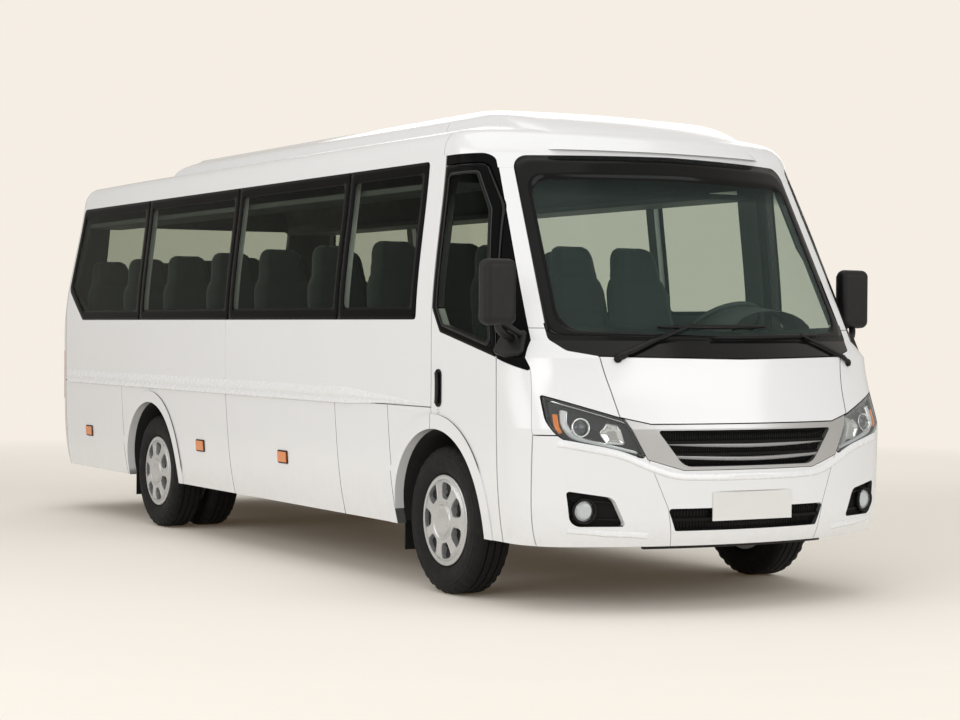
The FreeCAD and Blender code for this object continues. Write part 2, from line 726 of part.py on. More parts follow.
def flare(axle):
    """Raised band round an arch on the right side."""
    ring = arch_cylinder(axle, mm.arch_radius + mm.flare_width, ARCH_DEPTH)
    ring = ring.cut(arch_cylinder(axle, mm.arch_radius, ARCH_DEPTH))
    low = box(-BEYOND, 0, axle - HALF, axle + HALF, mm.skirt_low, ABOVE)
    return ring.common(low).common(FLARE_SKIN).cut(INNER)


# Sides

def band_corners(margin):
    """Corners of the window band, moved in by margin."""
    return [
        (FRONT + mm.band_front + margin, mm.sill_height + margin, mm.corner_round / 2),
        (REAR - mm.band_rear_low - margin, mm.sill_height + margin, mm.corner_round),
        (REAR - mm.band_rear_mid - margin, mm.band_kink, mm.corner_round),
        (REAR - mm.band_rear_top - margin, mm.window_top - margin, mm.corner_round),
        (FRONT + mm.band_front + margin, mm.window_top - margin, mm.corner_round / 2),
    ]


def pane_joints():
    first = FRONT + mm.band_front + mm.first_pane
    return [first + mm.pane_pitch * step for step in range(3)]


# Place of the seam between the two panels of a side wall behind the foremost point.
WALL_SEAM_SHARE = 0.54


def wall_seam():
    """Groove between the two panels of the right side wall."""
    start = FRONT + mm.body_length * WALL_SEAM_SHARE
    groove = box(-BEYOND, -ARCH_DEPTH, start, start + mm.seam / 2, mm.skirt_low, mm.sill_height)
    return groove.cut(skin(mm.seam))


def build_side():
    band = side_prism(side_outline(band_corners(0)))
    joints = pane_joints()
    ends = [FRONT + mm.band_front - mm.overrun] + joints + [REAR]
    panes = []
    apertures = []
    clear = side_prism(side_outline(band_corners(mm.pane_border)))
    for low, high in zip(ends[:-1], ends[1:]):
        strip = box(-BEYOND, 0, low + mm.seam / 2, high - mm.seam / 2, 0, ABOVE)
        panes.append(pane(band.common(strip)))
        strip = box(-BEYOND, 0, low + mm.pane_border, high - mm.pane_border, 0, ABOVE)
        apertures.append(clear.common(strip))
    both("side_windows", Part.makeCompound(panes))
    wall = SHELL.common(box(-BEYOND, 0, FRONT + mm.door_rear + mm.door_gap,
                            REAR - mm.rear_split - mm.seam,
                            mm.crease_height + mm.seam / 2, mm.gutter_height))
    wall = wall.cut(rebate(band)).cut(Part.makeCompound(apertures))
    wall = wall.cut(box(-BEYOND, 0, FRONT, FRONT + mm.cap_seam + mm.seam, mm.brow, ABOVE))
    foot = box(-BEYOND, 0, FRONT + mm.door_rear + mm.door_gap,
               REAR - mm.rear_split - mm.seam,
               mm.floor_height - mm.floor_plate, mm.crease_height + mm.seam)
    foot = foot.common(skin(mm.skirt_thick + mm.seat_gap)).cut(INNER)
    for axle in (FRONT_AXLE, REAR_AXLE):
        foot = foot.cut(arch_cylinder(axle, mm.arch_radius + mm.flare_width, ARCH_DEPTH))
    wall = wall.fuse(foot).cut(wall_seam())
    pair("side_wall", wall)


# Places of the skirt seams behind the foremost point, at the crease, and their rake.
SKIRT_SEAM_SHARES = [0.239, 0.327, WALL_SEAM_SHARE, 0.796]
SKIRT_RAKE_SHARE = 0.13


def build_skirts():
    low = FRONT + mm.door_rear + mm.door_gap
    high = REAR - mm.rear_split - mm.seam
    block = box(-BEYOND, -ARCH_DEPTH, low, high, mm.skirt_low, mm.crease_height - mm.seam / 2)
    skirt = block.common(OUTER).cut(skin(mm.skirt_thick, mm.overrun))
    for axle in (FRONT_AXLE, REAR_AXLE):
        band = flare(axle).common(box(-BEYOND, 0, low, high, 0, ABOVE))
        skirt = skirt.fuse(band)
        skirt = skirt.cut(arch_cylinder(axle, mm.arch_radius, ARCH_DEPTH))
    rake = (mm.crease_height - mm.skirt_low) * SKIRT_RAKE_SHARE
    for share in SKIRT_SEAM_SHARES:
        top = FRONT + mm.body_length * share
        slit = side_outline([
            (top, mm.crease_height + mm.overrun, 0),
            (top + mm.seam, mm.crease_height + mm.overrun, 0),
            (top + mm.seam - rake, mm.skirt_low - mm.overrun, 0),
            (top - rake, mm.skirt_low - mm.overrun, 0),
        ])
        skirt = skirt.cut(side_prism(slit, ARCH_DEPTH))
    both("skirts", skirt)


# Middles of the side markers behind the foremost point.
MARKER_SHARES = [0.4229, 0.5972, 0.8881]


def build_markers():
    """Amber side markers on the skirts."""
    lens = []
    proud = skin(-mm.marker_proud)
    seat = skin(-mm.seat_gap, mm.overrun)
    for share in MARKER_SHARES:
        middle = FRONT + mm.body_length * share
        block = box(-BEYOND, 0, middle - mm.marker_long / 2, middle + mm.marker_long / 2,
                    mm.marker_height - mm.marker_tall / 2, mm.marker_height + mm.marker_tall / 2)
        lens.append(block.common(proud).cut(seat))
    both("side_markers", Part.makeCompound(lens))


# Front doors

FRONT_SHELL = SHELL.common(box(-BEYOND, BEYOND, FRONT - mm.overrun, FRONT + mm.door_rear,
                               mm.skirt_low, mm.brow))


def build_doors():
    inner = HALF * CAB_SHARE
    block = side_prism(door_outline(), inner)
    limits = box(-BEYOND, 0, FRONT, FRONT + mm.door_rear, mm.skirt_low, ABOVE)
    block = block.common(limits)
    door = FRONT_SHELL.common(block).fuse(flare(FRONT_AXLE).common(block))
    door = door.cut(arch_cylinder(FRONT_AXLE, mm.arch_radius, ARCH_DEPTH))
    pane_wire = door_pane_outline()
    pane_block = side_prism(pane_wire, inner)
    clear = side_prism(grown(pane_wire, -mm.frame_border), inner)
    door = door.cut(rebate(pane_block)).cut(clear)
    pair("front_door", door)
    pair("door_glass", pane(pane_block))
    return side_prism(grown(door_outline(), mm.door_gap), inner)


# Front

def ahead(wire):
    return front_prism(wire, FRONT - mm.overrun, FRONT + mm.cap_seam + mm.overrun)


def build_front(cap, door_space):
    screen = screen_outline()
    screen_block = ahead(screen)
    keep("windscreen", pane(screen_block))
    openings = Part.makeCompound([door_space, mirrored(door_space)])
    screen_room = rebate(screen_block).fuse(ahead(grown(screen, -mm.screen_border)))
    headers = side_prism(sail_outline(FRONT + mm.cap_seam + mm.overrun), HALF * CAB_SHARE)
    cap = cap.cut(screen_room).cut(openings).cut(headers).cut(mirrored(headers))
    keep("front_cap", largest(cap, 1))
    rest = FRONT_SHELL.cut(screen_room).cut(openings)
    cowl = cowl_outline()
    keep("cowl", rest.common(ahead(cowl)))
    rest = rest.cut(ahead(grown(cowl, mm.seam / 2)))
    bonnet = bonnet_outline()
    keep("bonnet_panel", rest.common(ahead(bonnet)))
    rest = rest.cut(ahead(grown(bonnet, mm.seam)))
    grille = grille_outline()
    mesh = mesh_outline()
    keep("grille_surround", rest.common(ahead(grille)).cut(ahead(mesh)))
    rest = rest.cut(ahead(grown(grille, mm.seam / 2)))
    lamp = rest.common(ahead(lamp_outline(-1)))
    both("headlamps", lamp)
    hole = ahead(grown(lamp_outline(-1), mm.seam / 2))
    rest = rest.cut(hole).cut(mirrored(hole))
    rest = build_bumper(rest)
    build_corners(rest)
    build_grilles()


def build_corners(rest):
    """Pillars, sails, wings and the strips ahead of the doors."""
    rest = largest(rest, 2).common(box(-BEYOND, 0, FRONT - mm.overrun, REAR, 0, ABOVE))
    inner = HALF * CAB_SHARE
    outline = sail_outline(FRONT + mm.door_rear)
    both("front_sails", largest(rest.common(side_prism(outline, inner)), 2))
    rest = rest.cut(side_prism(grown(outline, mm.seam / 2), inner))
    wing = rest.common(side_prism(wing_space(0)))
    wing = wing.common(box(-BEYOND, 0, FRONT - mm.overrun, REAR, 0, mm.cap_low))
    strip = largest(rest.cut(side_prism(wing_space(mm.seam / 2))), 1)
    seam = box(-BEYOND, 0, FRONT, REAR, mm.pillar_seam, mm.pillar_seam + mm.seam / 2)
    wing = largest(wing.cut(seam), 2)
    both("front_corners", Part.makeCompound([strip, wing]))


def bumper_space(margin):
    """Region of the front bumper, seen from the side, grown by margin."""
    return side_outline([
        (FRONT - mm.overrun, mm.skirt_low - mm.overrun, 0),
        (FRONT + mm.bumper_seam_low + margin, mm.skirt_low - mm.overrun, 0),
        (FRONT + mm.bumper_seam_top + margin, mm.bumper_top + margin, 0),
        (FRONT - mm.overrun, mm.bumper_top + margin, 0),
    ])


def build_bumper(rest):
    space = side_prism(bumper_space(0), -BEYOND)
    bumper = rest.common(space)
    rest = rest.cut(side_prism(bumper_space(mm.seam), -BEYOND))
    bumper = bumper.cut(ahead(intake_outline()))
    for side in (-1, 1):
        bumper = bumper.cut(ahead(fog_outline(side)))
    slit = front_outline([
        (-mm.grille_side_half, mm.grille_side + mm.seam, 0),
        (-mm.grille_side_half + mm.seam / 2, mm.grille_side + mm.seam, 0),
        (-mm.intake_top_half + mm.seam / 2, mm.intake_top, 0),
        (-mm.intake_low_half + mm.seam / 2, mm.skirt_low - mm.overrun, 0),
        (-mm.intake_low_half, mm.skirt_low - mm.overrun, 0),
        (-mm.intake_top_half, mm.intake_top, 0),
    ])
    bumper = bumper.cut(ahead(slit)).cut(mirrored(ahead(slit)))
    bumper = bumper.cut(box(-mm.plate_half - mm.seam, mm.plate_half + mm.seam,
                            FRONT - mm.overrun, FRONT + mm.plate_pocket,
                            mm.plate_low - mm.seam, mm.plate_top + mm.seam))
    keep("front_bumper", bumper)
    plate_front = FRONT + mm.plate_pocket - mm.plate_thick - mm.seat_gap
    keep("front_plate", box(-mm.plate_half, mm.plate_half, plate_front,
                            plate_front + mm.plate_thick, mm.plate_low, mm.plate_top))
    bowl_back = skin(mm.wall - mm.seam)
    recess = ahead(grown(fog_outline(-1), -mm.seat_gap)).common(skin(mm.slat * 2))
    recess = recess.cut(bowl_back)
    lens = Part.makeCylinder(mm.fog_radius, mm.cap_seam,
                             Vector(-mm.fog_half, FRONT, mm.fog_height), Vector(0, 1, 0))
    lens = lens.common(skin(mm.seam * 2)).cut(bowl_back)
    both("fog_lamps", recess.fuse(lens))
    return rest


def slats(block, low, high, count):
    """Bowed horizontal bars across an opening, with a thin sheet behind them."""
    sheet_front = skin(mm.seam + mm.slat_depth)
    result = block.common(sheet_front).cut(skin(mm.wall - mm.seam))
    bars = block.common(skin(mm.seam)).cut(sheet_front)
    pitch = (high - low) / count
    for step in range(1, count):
        middle = low + pitch * step
        bar = bars.common(box(-BEYOND, BEYOND, FRONT - mm.overrun, FRONT + mm.cap_seam,
                              middle - mm.slat / 2, middle + mm.slat / 2))
        result = result.fuse(bar)
    return result


def build_grilles():
    upper = ahead(grown(mesh_outline(), -mm.seat_gap))
    lower = ahead(grown(intake_outline(), -mm.seat_gap))
    lower = lower.cut(box(-mm.plate_half - mm.seam, mm.plate_half + mm.seam,
                          FRONT - mm.overrun, FRONT + mm.plate_pocket + mm.seam,
                          mm.plate_low - mm.seam, mm.plate_top + mm.seam))
    keep("grilles", Part.makeCompound([slats(upper, mm.mesh_low, mm.mesh_top, 3),
                                       slats(lower, mm.intake_low, mm.intake_top, 2)]))


# Rear

def rearward(wire):
    return front_prism(wire, REAR - mm.rear_crown * 1.5, REAR + mm.overrun)


def frame_outline(half, low, top, radius):
    return front_outline([(-half, low, radius), (half, low, radius), (half, top, radius),
                          (-half, top, radius)])


def build_rear():
    rest = SHELL.common(box(-BEYOND, BEYOND, REAR - mm.rear_split, REAR + mm.overrun,
                            mm.skirt_low, mm.gutter_height))
    window = frame_outline(mm.rear_window_half, mm.rear_window_low, mm.rear_window_top,
                           mm.corner_round)
    keep("rear_window", pane(rearward(window)))
    rest = rest.cut(rebate(rearward(window)))
    rest = rest.cut(rearward(grown(window, -mm.pane_border)))
    lid = frame_outline(mm.boot_half, mm.boot_low, mm.boot_top, mm.corner_round)
    keep("boot_lid", rest.common(rearward(lid)))
    rest = rest.cut(rearward(grown(lid, mm.door_gap)))
    tail = front_outline([(-BEYOND, mm.tail_low, 0), (-mm.tail_half, mm.tail_low, 0),
                          (-mm.tail_half, mm.tail_top, 0), (-BEYOND, mm.tail_top, 0)])
    tail_block = front_prism(tail, REAR - mm.rear_corner, REAR + mm.overrun)
    lamp = tail_block.common(OUTER).cut(skin(mm.tail_deep))
    both("tail_lamps", lamp)
    hole = front_prism(grown(tail, mm.seat_gap), REAR - mm.rear_corner - mm.seat_gap,
                       REAR + mm.overrun)
    hole = hole.cut(skin(mm.tail_deep + mm.seat_gap))
    rest = rest.cut(hole).cut(mirrored(hole))
    split = mm.rear_bumper_top
    keep("rear_bumper", rest.common(box(-BEYOND, BEYOND, 0, REAR + mm.overrun, 0, split)))
    keep("rear_panel", rest.common(box(-BEYOND, BEYOND, 0, REAR + mm.overrun,
                                       split + mm.seam, ABOVE)))


# Carriers behind doors, boot lid and front panels

FLANGE_BACK = skin(mm.wall + mm.flange_thick, mm.overrun * 2)


def seal_ring(wire, block_of):
    """Flange that the edge of a door or lid closes against."""
    ring = block_of(grown(wire, mm.flange * 0.6)).cut(block_of(grown(wire, -mm.flange * 0.4)))
    return ring.common(SEATED).cut(FLANGE_BACK)


def build_carriers():
    low = box(-BEYOND, 0, FRONT, FRONT + mm.door_rear + mm.flange,
              mm.floor_height + mm.seat_gap, mm.window_top + mm.flange)
    housing = housing_block(FRONT_AXLE, mm.liner_inner_half, mm.seat_gap)
    ring = seal_ring(door_outline(), lambda wire: side_prism(wire, HALF * 0.72).common(low))
    ring = ring.cut(housing)
    ring = ring.cut(ahead(grown(screen_outline(), -mm.screen_border + mm.seat_gap)))
    lid = frame_outline(mm.boot_half, mm.boot_low, mm.boot_top, mm.corner_round)
    lid_ring = seal_ring(lid, rearward)
    floor_space = box(-BEYOND, BEYOND, 0, REAR, mm.floor_height - mm.floor_plate - mm.seat_gap,
                      mm.floor_height + mm.seat_gap)
    rails = box(-mm.rail_half - mm.rail_wide, mm.rail_half + mm.rail_wide, 0, REAR, 0,
                mm.floor_height)
    lid_ring = lid_ring.cut(floor_space).cut(rails)
    keep("door_frames", Part.makeCompound([ring, mirrored(ring), lid_ring]))
    width = mm.front_corner * 3
    block = box(-width, width, FRONT, FRONT + mm.front_corner * 2, mm.fog_low,
                mm.bonnet_height)
    carrier = block.common(SEATED).cut(skin(mm.wall + mm.front_frame))
    keep("front_frame", carrier)


def housing_block(axle, inner_half, margin):
    """Solid room of a wheel housing on the right side, grown by margin."""
    radius = mm.arch_radius + mm.liner + margin
    room = arch_cylinder(axle, radius, inner_half - mm.liner - margin)
    low = box(-BEYOND, 0, axle - radius, axle + radius, 0, mm.arch_height)
    inner = box(-BEYOND, -inner_half + mm.liner + margin, axle - radius, axle + radius,
                mm.skirt_low, mm.arch_height)
    return room.cut(low).fuse(inner)


def build_floor():
    low = mm.floor_height - mm.floor_plate
    plate = box(-HALF, HALF, FRONT, REAR, low, mm.floor_height)
    plate = plate.common(skin(mm.wall + mm.front_frame + mm.seat_gap * 2, 0))
    rear = box(-HALF, HALF, FRONT + mm.cap_seam, REAR, low, mm.floor_height)
    rear = rear.common(SEATED)
    plate = plate.fuse(rear)
    liners = []
    for axle, inner_half in ((FRONT_AXLE, mm.liner_inner_half), (REAR_AXLE, rear_liner_half())):
        room = housing_block(axle, inner_half, mm.seat_gap)
        plate = plate.cut(room).cut(mirrored(room))
        full = housing_block(axle, inner_half, 0)
        hollow = housing_block(axle, inner_half, -mm.liner)
        below = box(-BEYOND, 0, axle - HALF, axle + HALF, 0, mm.skirt_low + mm.liner)
        pass_half = mm.axle_tube_radius + mm.seam * 3
        notch = box(-BEYOND, 0, axle - pass_half, axle + pass_half, 0,
                    mm.tyre_radius + pass_half)
        liner = full.cut(hollow).cut(below).cut(notch).common(SEATED)
        liners.append(liner)
        liners.append(mirrored(liner))
    keep("floor", plate)
    keep("wheel_housings", Part.makeCompound(liners))


def rear_liner_half():
    """Inner face of the rear wheel housings, clear of the inner twin tyre."""
    inner_tyre = mm.front_track_half - mm.twin_spacing - mm.tyre_width / 2
    return inner_tyre - mm.liner - mm.overrun / 2


# Chassis

def build_frame():
    top = mm.floor_height - mm.floor_plate
    low = top - mm.rail_tall
    begin = FRONT + mm.rail_front
    end = REAR - mm.wall / 2
    bars = []
    for side in (-1, 1):
        middle = side * mm.rail_half
        bars.append(box(middle - mm.rail_wide / 2, middle + mm.rail_wide / 2, begin, end,
                        low, top))
    span = mm.rail_half
    for share in (0.25, 0.42, 0.56, 0.68, 0.88, 0.985):
        place = between(begin, end, share)
        bars.append(box(-span, span, place - mm.cross_wide / 2, place + mm.cross_wide / 2,
                        top - mm.cross_tall, top))
    for axle in (FRONT_AXLE, REAR_AXLE):
        for way in (-1, 1):
            eye = axle + way * mm.spring_half_length
            for side in (-1, 1):
                inner = side * (mm.rail_half - mm.rail_wide / 2)
                outer = side * (mm.spring_half + mm.spring_wide / 2)
                bars.append(box(min(inner, outer), max(inner, outer), eye - mm.cross_wide / 2,
                                eye + mm.cross_wide / 2, spring_eye_top(),
                                low + mm.cross_tall / 2))
    frame = bars[0].multiFuse(bars[1:])
    frame = frame.common(SEATED)
    nose = box(-HALF, HALF, FRONT, FRONT + mm.front_corner * 2, 0, top)
    nose = nose.cut(skin(mm.wall + mm.front_frame + mm.seat_gap))
    keep("chassis_frame", frame.cut(nose))


def spring_eye_top():
    return mm.tyre_radius + mm.axle_tube_radius + mm.spring_thick + mm.seat_gap


def build_springs():
    """Leaf springs: packs that thin out towards their eyes, seated on the axles."""
    packs = []
    for axle, seat in ((FRONT_AXLE, mm.axle_beam / 2), (REAR_AXLE, mm.axle_tube_radius)):
        low = mm.tyre_radius + seat + mm.seat_gap
        top = spring_eye_top() - mm.seat_gap
        thin = mm.spring_thick / 3
        reach = mm.spring_half_length + mm.cross_wide / 2
        wire = side_outline([
            (axle - reach, top, 0),
            (axle - reach, top - thin, 0),
            (axle - mm.cross_wide, low, 0),
            (axle + mm.cross_wide, low, 0),
            (axle + reach, top - thin, 0),
            (axle + reach, top, 0),
        ])
        half = mm.spring_wide / 2
        pack = side_prism(wire, mm.spring_half - half, mm.spring_half + half)
        packs += [pack, mirrored(pack)]
    keep("springs", Part.makeCompound(packs))


def bar_between(start, end, radius):
    way = end - start
    return Part.makeCylinder(radius, way.Length, start, way)


def build_axles():
    centre = mm.tyre_radius
    reach = mm.kingpin_half - mm.kingpin_radius / 2
    half = mm.axle_beam / 2
    beam = box(-reach, reach, FRONT_AXLE - half, FRONT_AXLE + half, centre - half,
               centre + half)
    for side in (-1, 1):
        foot = Vector(side * mm.kingpin_half, FRONT_AXLE, centre - mm.kingpin_tall / 2)
        beam = beam.fuse(Part.makeCylinder(mm.kingpin_radius, mm.kingpin_tall, foot))
        pin = Part.makeCylinder(mm.kingpin_radius / 2 + mm.seat_gap, mm.kingpin_tall, foot)
        beam = beam.cut(pin)
    keep("front_axle", beam)
    end = mm.front_track_half + mm.tyre_width * 0.25
    tube = bar_between(Vector(-end, REAR_AXLE, centre), Vector(end, REAR_AXLE, centre),
                       mm.axle_tube_radius)
    ball = Part.makeSphere(mm.differential_radius, Vector(0, REAR_AXLE, centre))
    nose_start = Vector(0, REAR_AXLE, centre)
    nose_end = Vector(0, REAR_AXLE - mm.differential_radius * 1.7, centre)
    nose = bar_between(nose_start, nose_end, mm.differential_radius * 0.45)
    keep("rear_axle", tube.fuse(ball).fuse(nose))
    return nose_end


def build_driveline(nose_end):
    low = mm.engine_low
    begin = FRONT + mm.engine_front
    block = box(-mm.engine_wide / 2, mm.engine_wide / 2, begin, begin + mm.engine_long, low,
                low + mm.engine_tall)
    keep("engine_block", block)
    start = Vector(0, begin + mm.engine_long + mm.seat_gap, low + mm.engine_tall * 0.55)
    end = nose_end - Vector(0, mm.seat_gap, 0)
    shaft = bar_between(start, end, mm.shaft_radius)
    keep("propeller_shaft", shaft.cut(block).cut(rear_room()))
    side = mm.rail_half + mm.rail_wide / 2 + mm.seat_gap
    top = mm.floor_height - mm.floor_plate - mm.seat_gap
    tank_begin = FRONT + mm.tank_front
    tank = box(side, side + mm.tank_wide, tank_begin, tank_begin + mm.tank_long,
               top - mm.tank_tall, top)
    keep("fuel_tank", tank.makeFillet(mm.corner_round / 2, tank.Edges))
    pipe_side = -mm.rail_half + mm.rail_wide / 2 + mm.muffler_radius + mm.seat_gap
    height = top - mm.cross_tall - mm.muffler_radius
    pipe_start = begin + mm.engine_long + mm.seat_gap
    muffler = bar_between(Vector(pipe_side, tank_begin, height),
                          Vector(pipe_side, tank_begin + mm.muffler_long, height),
                          mm.muffler_radius)
    pipe = bar_between(Vector(pipe_side, pipe_start, height),
                       Vector(pipe_side, tank_begin + mm.muffler_long, height),
                       mm.pipe_radius)
    keep("exhaust", pipe.fuse(muffler))


def rear_room():
    """Room that the nose of the rear axle takes."""
    radius = mm.differential_radius * 0.45 + mm.seat_gap
    return bar_between(Vector(0, REAR_AXLE - mm.differential_radius * 1.7 - mm.seat_gap,
                              mm.tyre_radius),
                       Vector(0, REAR_AXLE, mm.tyre_radius), radius)


def build_flaps():
    flaps = []
    for axle in (FRONT_AXLE, REAR_AXLE):
        back = axle + mm.arch_radius + mm.liner + mm.seat_gap
        outer = HALF - mm.wall * 2
        flap = box(-outer, -outer + mm.flap_wide, back, back + mm.flap_thick, mm.flap_low,
                   mm.skirt_low + mm.wall * 2)
        flaps += [flap, mirrored(flap)]
    keep("mud_flaps", Part.makeCompound(flaps))


# Cabin

def build_dashboard():
    begin = FRONT + mm.dash_front
    block = side_outline([
        (begin, mm.dash_top - mm.wall, mm.corner_round / 2),
        (begin, mm.dash_low - mm.wall * 2, 0),
        (begin + mm.dash_deep * 0.7, mm.dash_low, mm.corner_round / 2),
        (begin + mm.dash_deep, mm.dash_top - mm.wall * 2, mm.corner_round / 2),
        (begin + mm.dash_deep * 0.8, mm.dash_top, mm.corner_round / 2),
    ])
    half = HALF - mm.wall * 3
    body = side_prism(block, -half, half).common(skin(mm.wall * 2))
    post = box(-mm.wall * 2, mm.wall * 2, begin + mm.wall, begin + mm.dash_deep * 0.6,
               mm.floor_height + mm.seat_gap, mm.dash_low)
    body = body.fuse(post)
    column = bar_between(wheel_centre() - wheel_axis() * mm.wheel_grip * 2,
                         wheel_centre() - wheel_axis() * mm.dash_deep * 1.15,
                         mm.column_radius)
    keep("dashboard", body.fuse(column))


def wheel_centre():
    return Vector(mm.wheel_side, FRONT + mm.wheel_setback, mm.wheel_height)


def wheel_axis():
    """Points from the steering column up to the driver."""
    rake = math.radians(mm.wheel_rake)
    return Vector(0, math.sin(rake), math.cos(rake))


def build_steering_wheel():
    centre = wheel_centre()
    axis = wheel_axis()
    ring = Part.makeTorus(mm.wheel_ring - mm.wheel_grip, mm.wheel_grip, centre, axis)
    base = centre - axis * (mm.wheel_grip * 2 - mm.seat_gap)
    hub = Part.makeCylinder(mm.column_radius * 2, mm.wheel_grip * 2, base, axis)
    wheel = ring.fuse(hub)
    down = Vector(0, -axis.z, axis.y) * -1
    for way in (Vector(1, 0, 0), Vector(-1, 0, 0), down * -1):
        spoke = bar_between(centre, centre + way * (mm.wheel_ring - mm.wheel_grip),
                            mm.wheel_grip * 0.7)
        wheel = wheel.fuse(spoke)
    keep("steering_wheel", wheel)


def seat_shape(x_middle, back_y, wide):
    """One seat: cushion, leaning back and pedestal, its back's top at back_y."""
    floor = mm.floor_height + mm.seat_gap
    cushion = floor + mm.seat_up
    top = cushion + mm.seat_back_tall
    foot = back_y - mm.seat_lean
    front = foot - mm.seat_deep
    wire = side_outline([
        (front, cushion, mm.corner_round / 2),
        (foot, cushion - mm.corner_round / 2, 0),
        (back_y - mm.seat_back_thick * 0.7, top, mm.corner_round / 2),
        (back_y, top, mm.corner_round / 2),
        (foot + mm.seat_back_thick, cushion - mm.seat_cushion, 0),
        (foot - mm.seat_deep * 0.25, cushion - mm.seat_cushion, 0),
        (foot - mm.seat_deep * 0.25, floor, 0),
        (front + mm.seat_deep * 0.25, floor, 0),
        (front + mm.seat_deep * 0.25, cushion - mm.seat_cushion, 0),
        (front, cushion - mm.seat_cushion, mm.corner_round / 2),
    ])
    half = wide / 2
    return side_prism(wire, -x_middle - half, -x_middle + half)


def seat_columns():
    """Middles of the four seats of a row, from the right side to the left."""
    outer = HALF - mm.wall - mm.seat_window_gap - mm.seat_wide / 2
    inner = outer - mm.seat_wide - mm.seam * 2
    return [-outer, -inner, inner, outer]


ROW_COUNT = 7


def build_seats():
    seats = []
    for row in range(ROW_COUNT):
        back = FRONT + mm.first_row + mm.seat_pitch * row
        for middle in seat_columns():
            seats.append(seat_shape(middle, back, mm.seat_wide))
    housings = []
    for axle, inner_half in ((FRONT_AXLE, mm.liner_inner_half), (REAR_AXLE, rear_liner_half())):
        room = housing_block(axle, inner_half, mm.seat_gap)
        housings += [room, mirrored(room)]
    rooms = Part.makeCompound(housings)
    keep("passenger_seats", Part.makeCompound([seat.cut(rooms) for seat in seats]))
    front = [seat_shape(mm.wheel_side, FRONT + mm.driver_row, mm.seat_wide),
             seat_shape(-mm.wheel_side, FRONT + mm.driver_row, mm.seat_wide)]
    keep("front_seats", Part.makeCompound([seat.cut(rooms) for seat in front]))


def build_racks():
    begin = FRONT + mm.cap_seam + mm.wall
    end = REAR - mm.rear_split - mm.overrun
    block = box(-HALF, -HALF + mm.wall + mm.tumblehome + mm.rack_deep, begin, end,
                mm.rack_height, mm.rack_height + mm.rack_thick)
    rack = block.common(SEATED)
    both("luggage_racks", rack)


# Mirrors and wipers

def mirror_head(half, y, z):
    corner = Vector(half - mm.mirror_wide / 2, y - mm.mirror_deep / 2, z - mm.mirror_tall / 2)
    head = Part.makeBox(mm.mirror_wide, mm.mirror_deep, mm.mirror_tall, corner)
    return head.makeFillet(mm.mirror_round, head.Edges)


def build_mirrors():
    """The right mirror stands on its sail, the left one on the frame of its door."""
    z = mm.mirror_height
    surface = skin(-mm.seat_gap)
    belt = FRONT + mm.door_belt_front
    for name, middle, setback, base in (
            ("right", -mm.mirror_half, mm.mirror_setback, belt - mm.arm_radius * 5),
            ("left", mm.door_mirror_half, mm.door_mirror_setback, belt + mm.arm_radius * 3)):
        y = FRONT + setback
        head = mirror_head(middle, y, z)
        inner = math.copysign(HALF - mm.wall * 3, middle)
        root = Vector(inner, base, mm.door_belt + mm.wall * 2)
        grip = Vector(middle, y, z - mm.mirror_tall * 0.4)
        arm = bar_between(root, grip, mm.arm_radius).cut(surface)
        keep(f"mirror_{name}", head.fuse(arm))


def build_wipers():
    """Two arms with blades lying on the windscreen's foot."""
    wipers = []
    out_skin = skin(-mm.seam * 3)
    on_skin = skin(-mm.seat_gap * 3)
    height = mm.cowl_height + mm.wall * 1.5
    for start, length in ((-mm.screen_low_half * 0.72, mm.wiper_length),
                          (mm.screen_low_half * 0.02, mm.wiper_length)):
        block = front_outline([
            (start, height - mm.seam, 0),
            (start + length, height + mm.wall, 0),
            (start + length, height + mm.wall + mm.seam * 2, 0),
            (start, height + mm.seam, 0),
        ])
        wipers.append(ahead(block).common(out_skin).cut(on_skin))
    keep("wipers", Part.makeCompound(wipers))


# Wheels, tyres and knuckles, bound to the sheet

class Length:
    """A size together with the expression that binds it to the sheet."""

    def __init__(self, value, text):
        self.value = value
        self.text = text

    def __add__(self, other):
        return Length(self.value + other.value, f"({self.text} + {other.text})")

    def __sub__(self, other):
        return Length(self.value - other.value, f"({self.text} - {other.text})")

    def __mul__(self, share):
        return Length(self.value * share, f"({self.text} * {share})")


class Links:
    """Lengths of the sheet by name."""

    def __getattr__(self, alias):
        return Length(float(sheet.get(alias)), f"sizes.{alias}")


link = Links()


def origin_part(body, role):
    for item in body.Origin.OriginFeatures:
        if item.Role == role:
            return item


def fix_point(sketch, number, kind, axis, length):
    """Holds a line's first point at a distance from the origin, bound to the sheet."""
    if length.value == 0:
        sketch.addConstraint(Sketcher.Constraint("PointOnObject", number, 1, axis))
        return
    if length.value > 0:
        held = Sketcher.Constraint(kind, -1, 1, number, 1, length.value)
        text = length.text
    else:
        held = Sketcher.Constraint(kind, number, 1, -1, 1, -length.value)
        text = f"-1 * {length.text}"
    index = sketch.addConstraint(held)
    sketch.setExpression(f"Constraints[{index}]", text)


def profile(body, name, role, corners):
    """Closed sketch of straight lines through corners (across, up)."""
    sketch = body.newObject("Sketcher::SketchObject", name)
    sketch.AttachmentSupport = [(origin_part(body, role), "")]
    sketch.MapMode = "FlatFace"
    points = [Vector(across.value, up.value, 0) for across, up in corners]
    count = len(points)
    for number in range(count):
        line = Part.LineSegment(points[number], points[(number + 1) % count])
        sketch.addGeometry(line, False)
    for number in range(count):
        joined = Sketcher.Constraint("Coincident", number, 2, (number + 1) % count, 1)
        sketch.addConstraint(joined)
    for number, (across, up) in enumerate(corners):
        fix_point(sketch, number, "DistanceX", -2, across)
        fix_point(sketch, number, "DistanceY", -1, up)
    return sketch


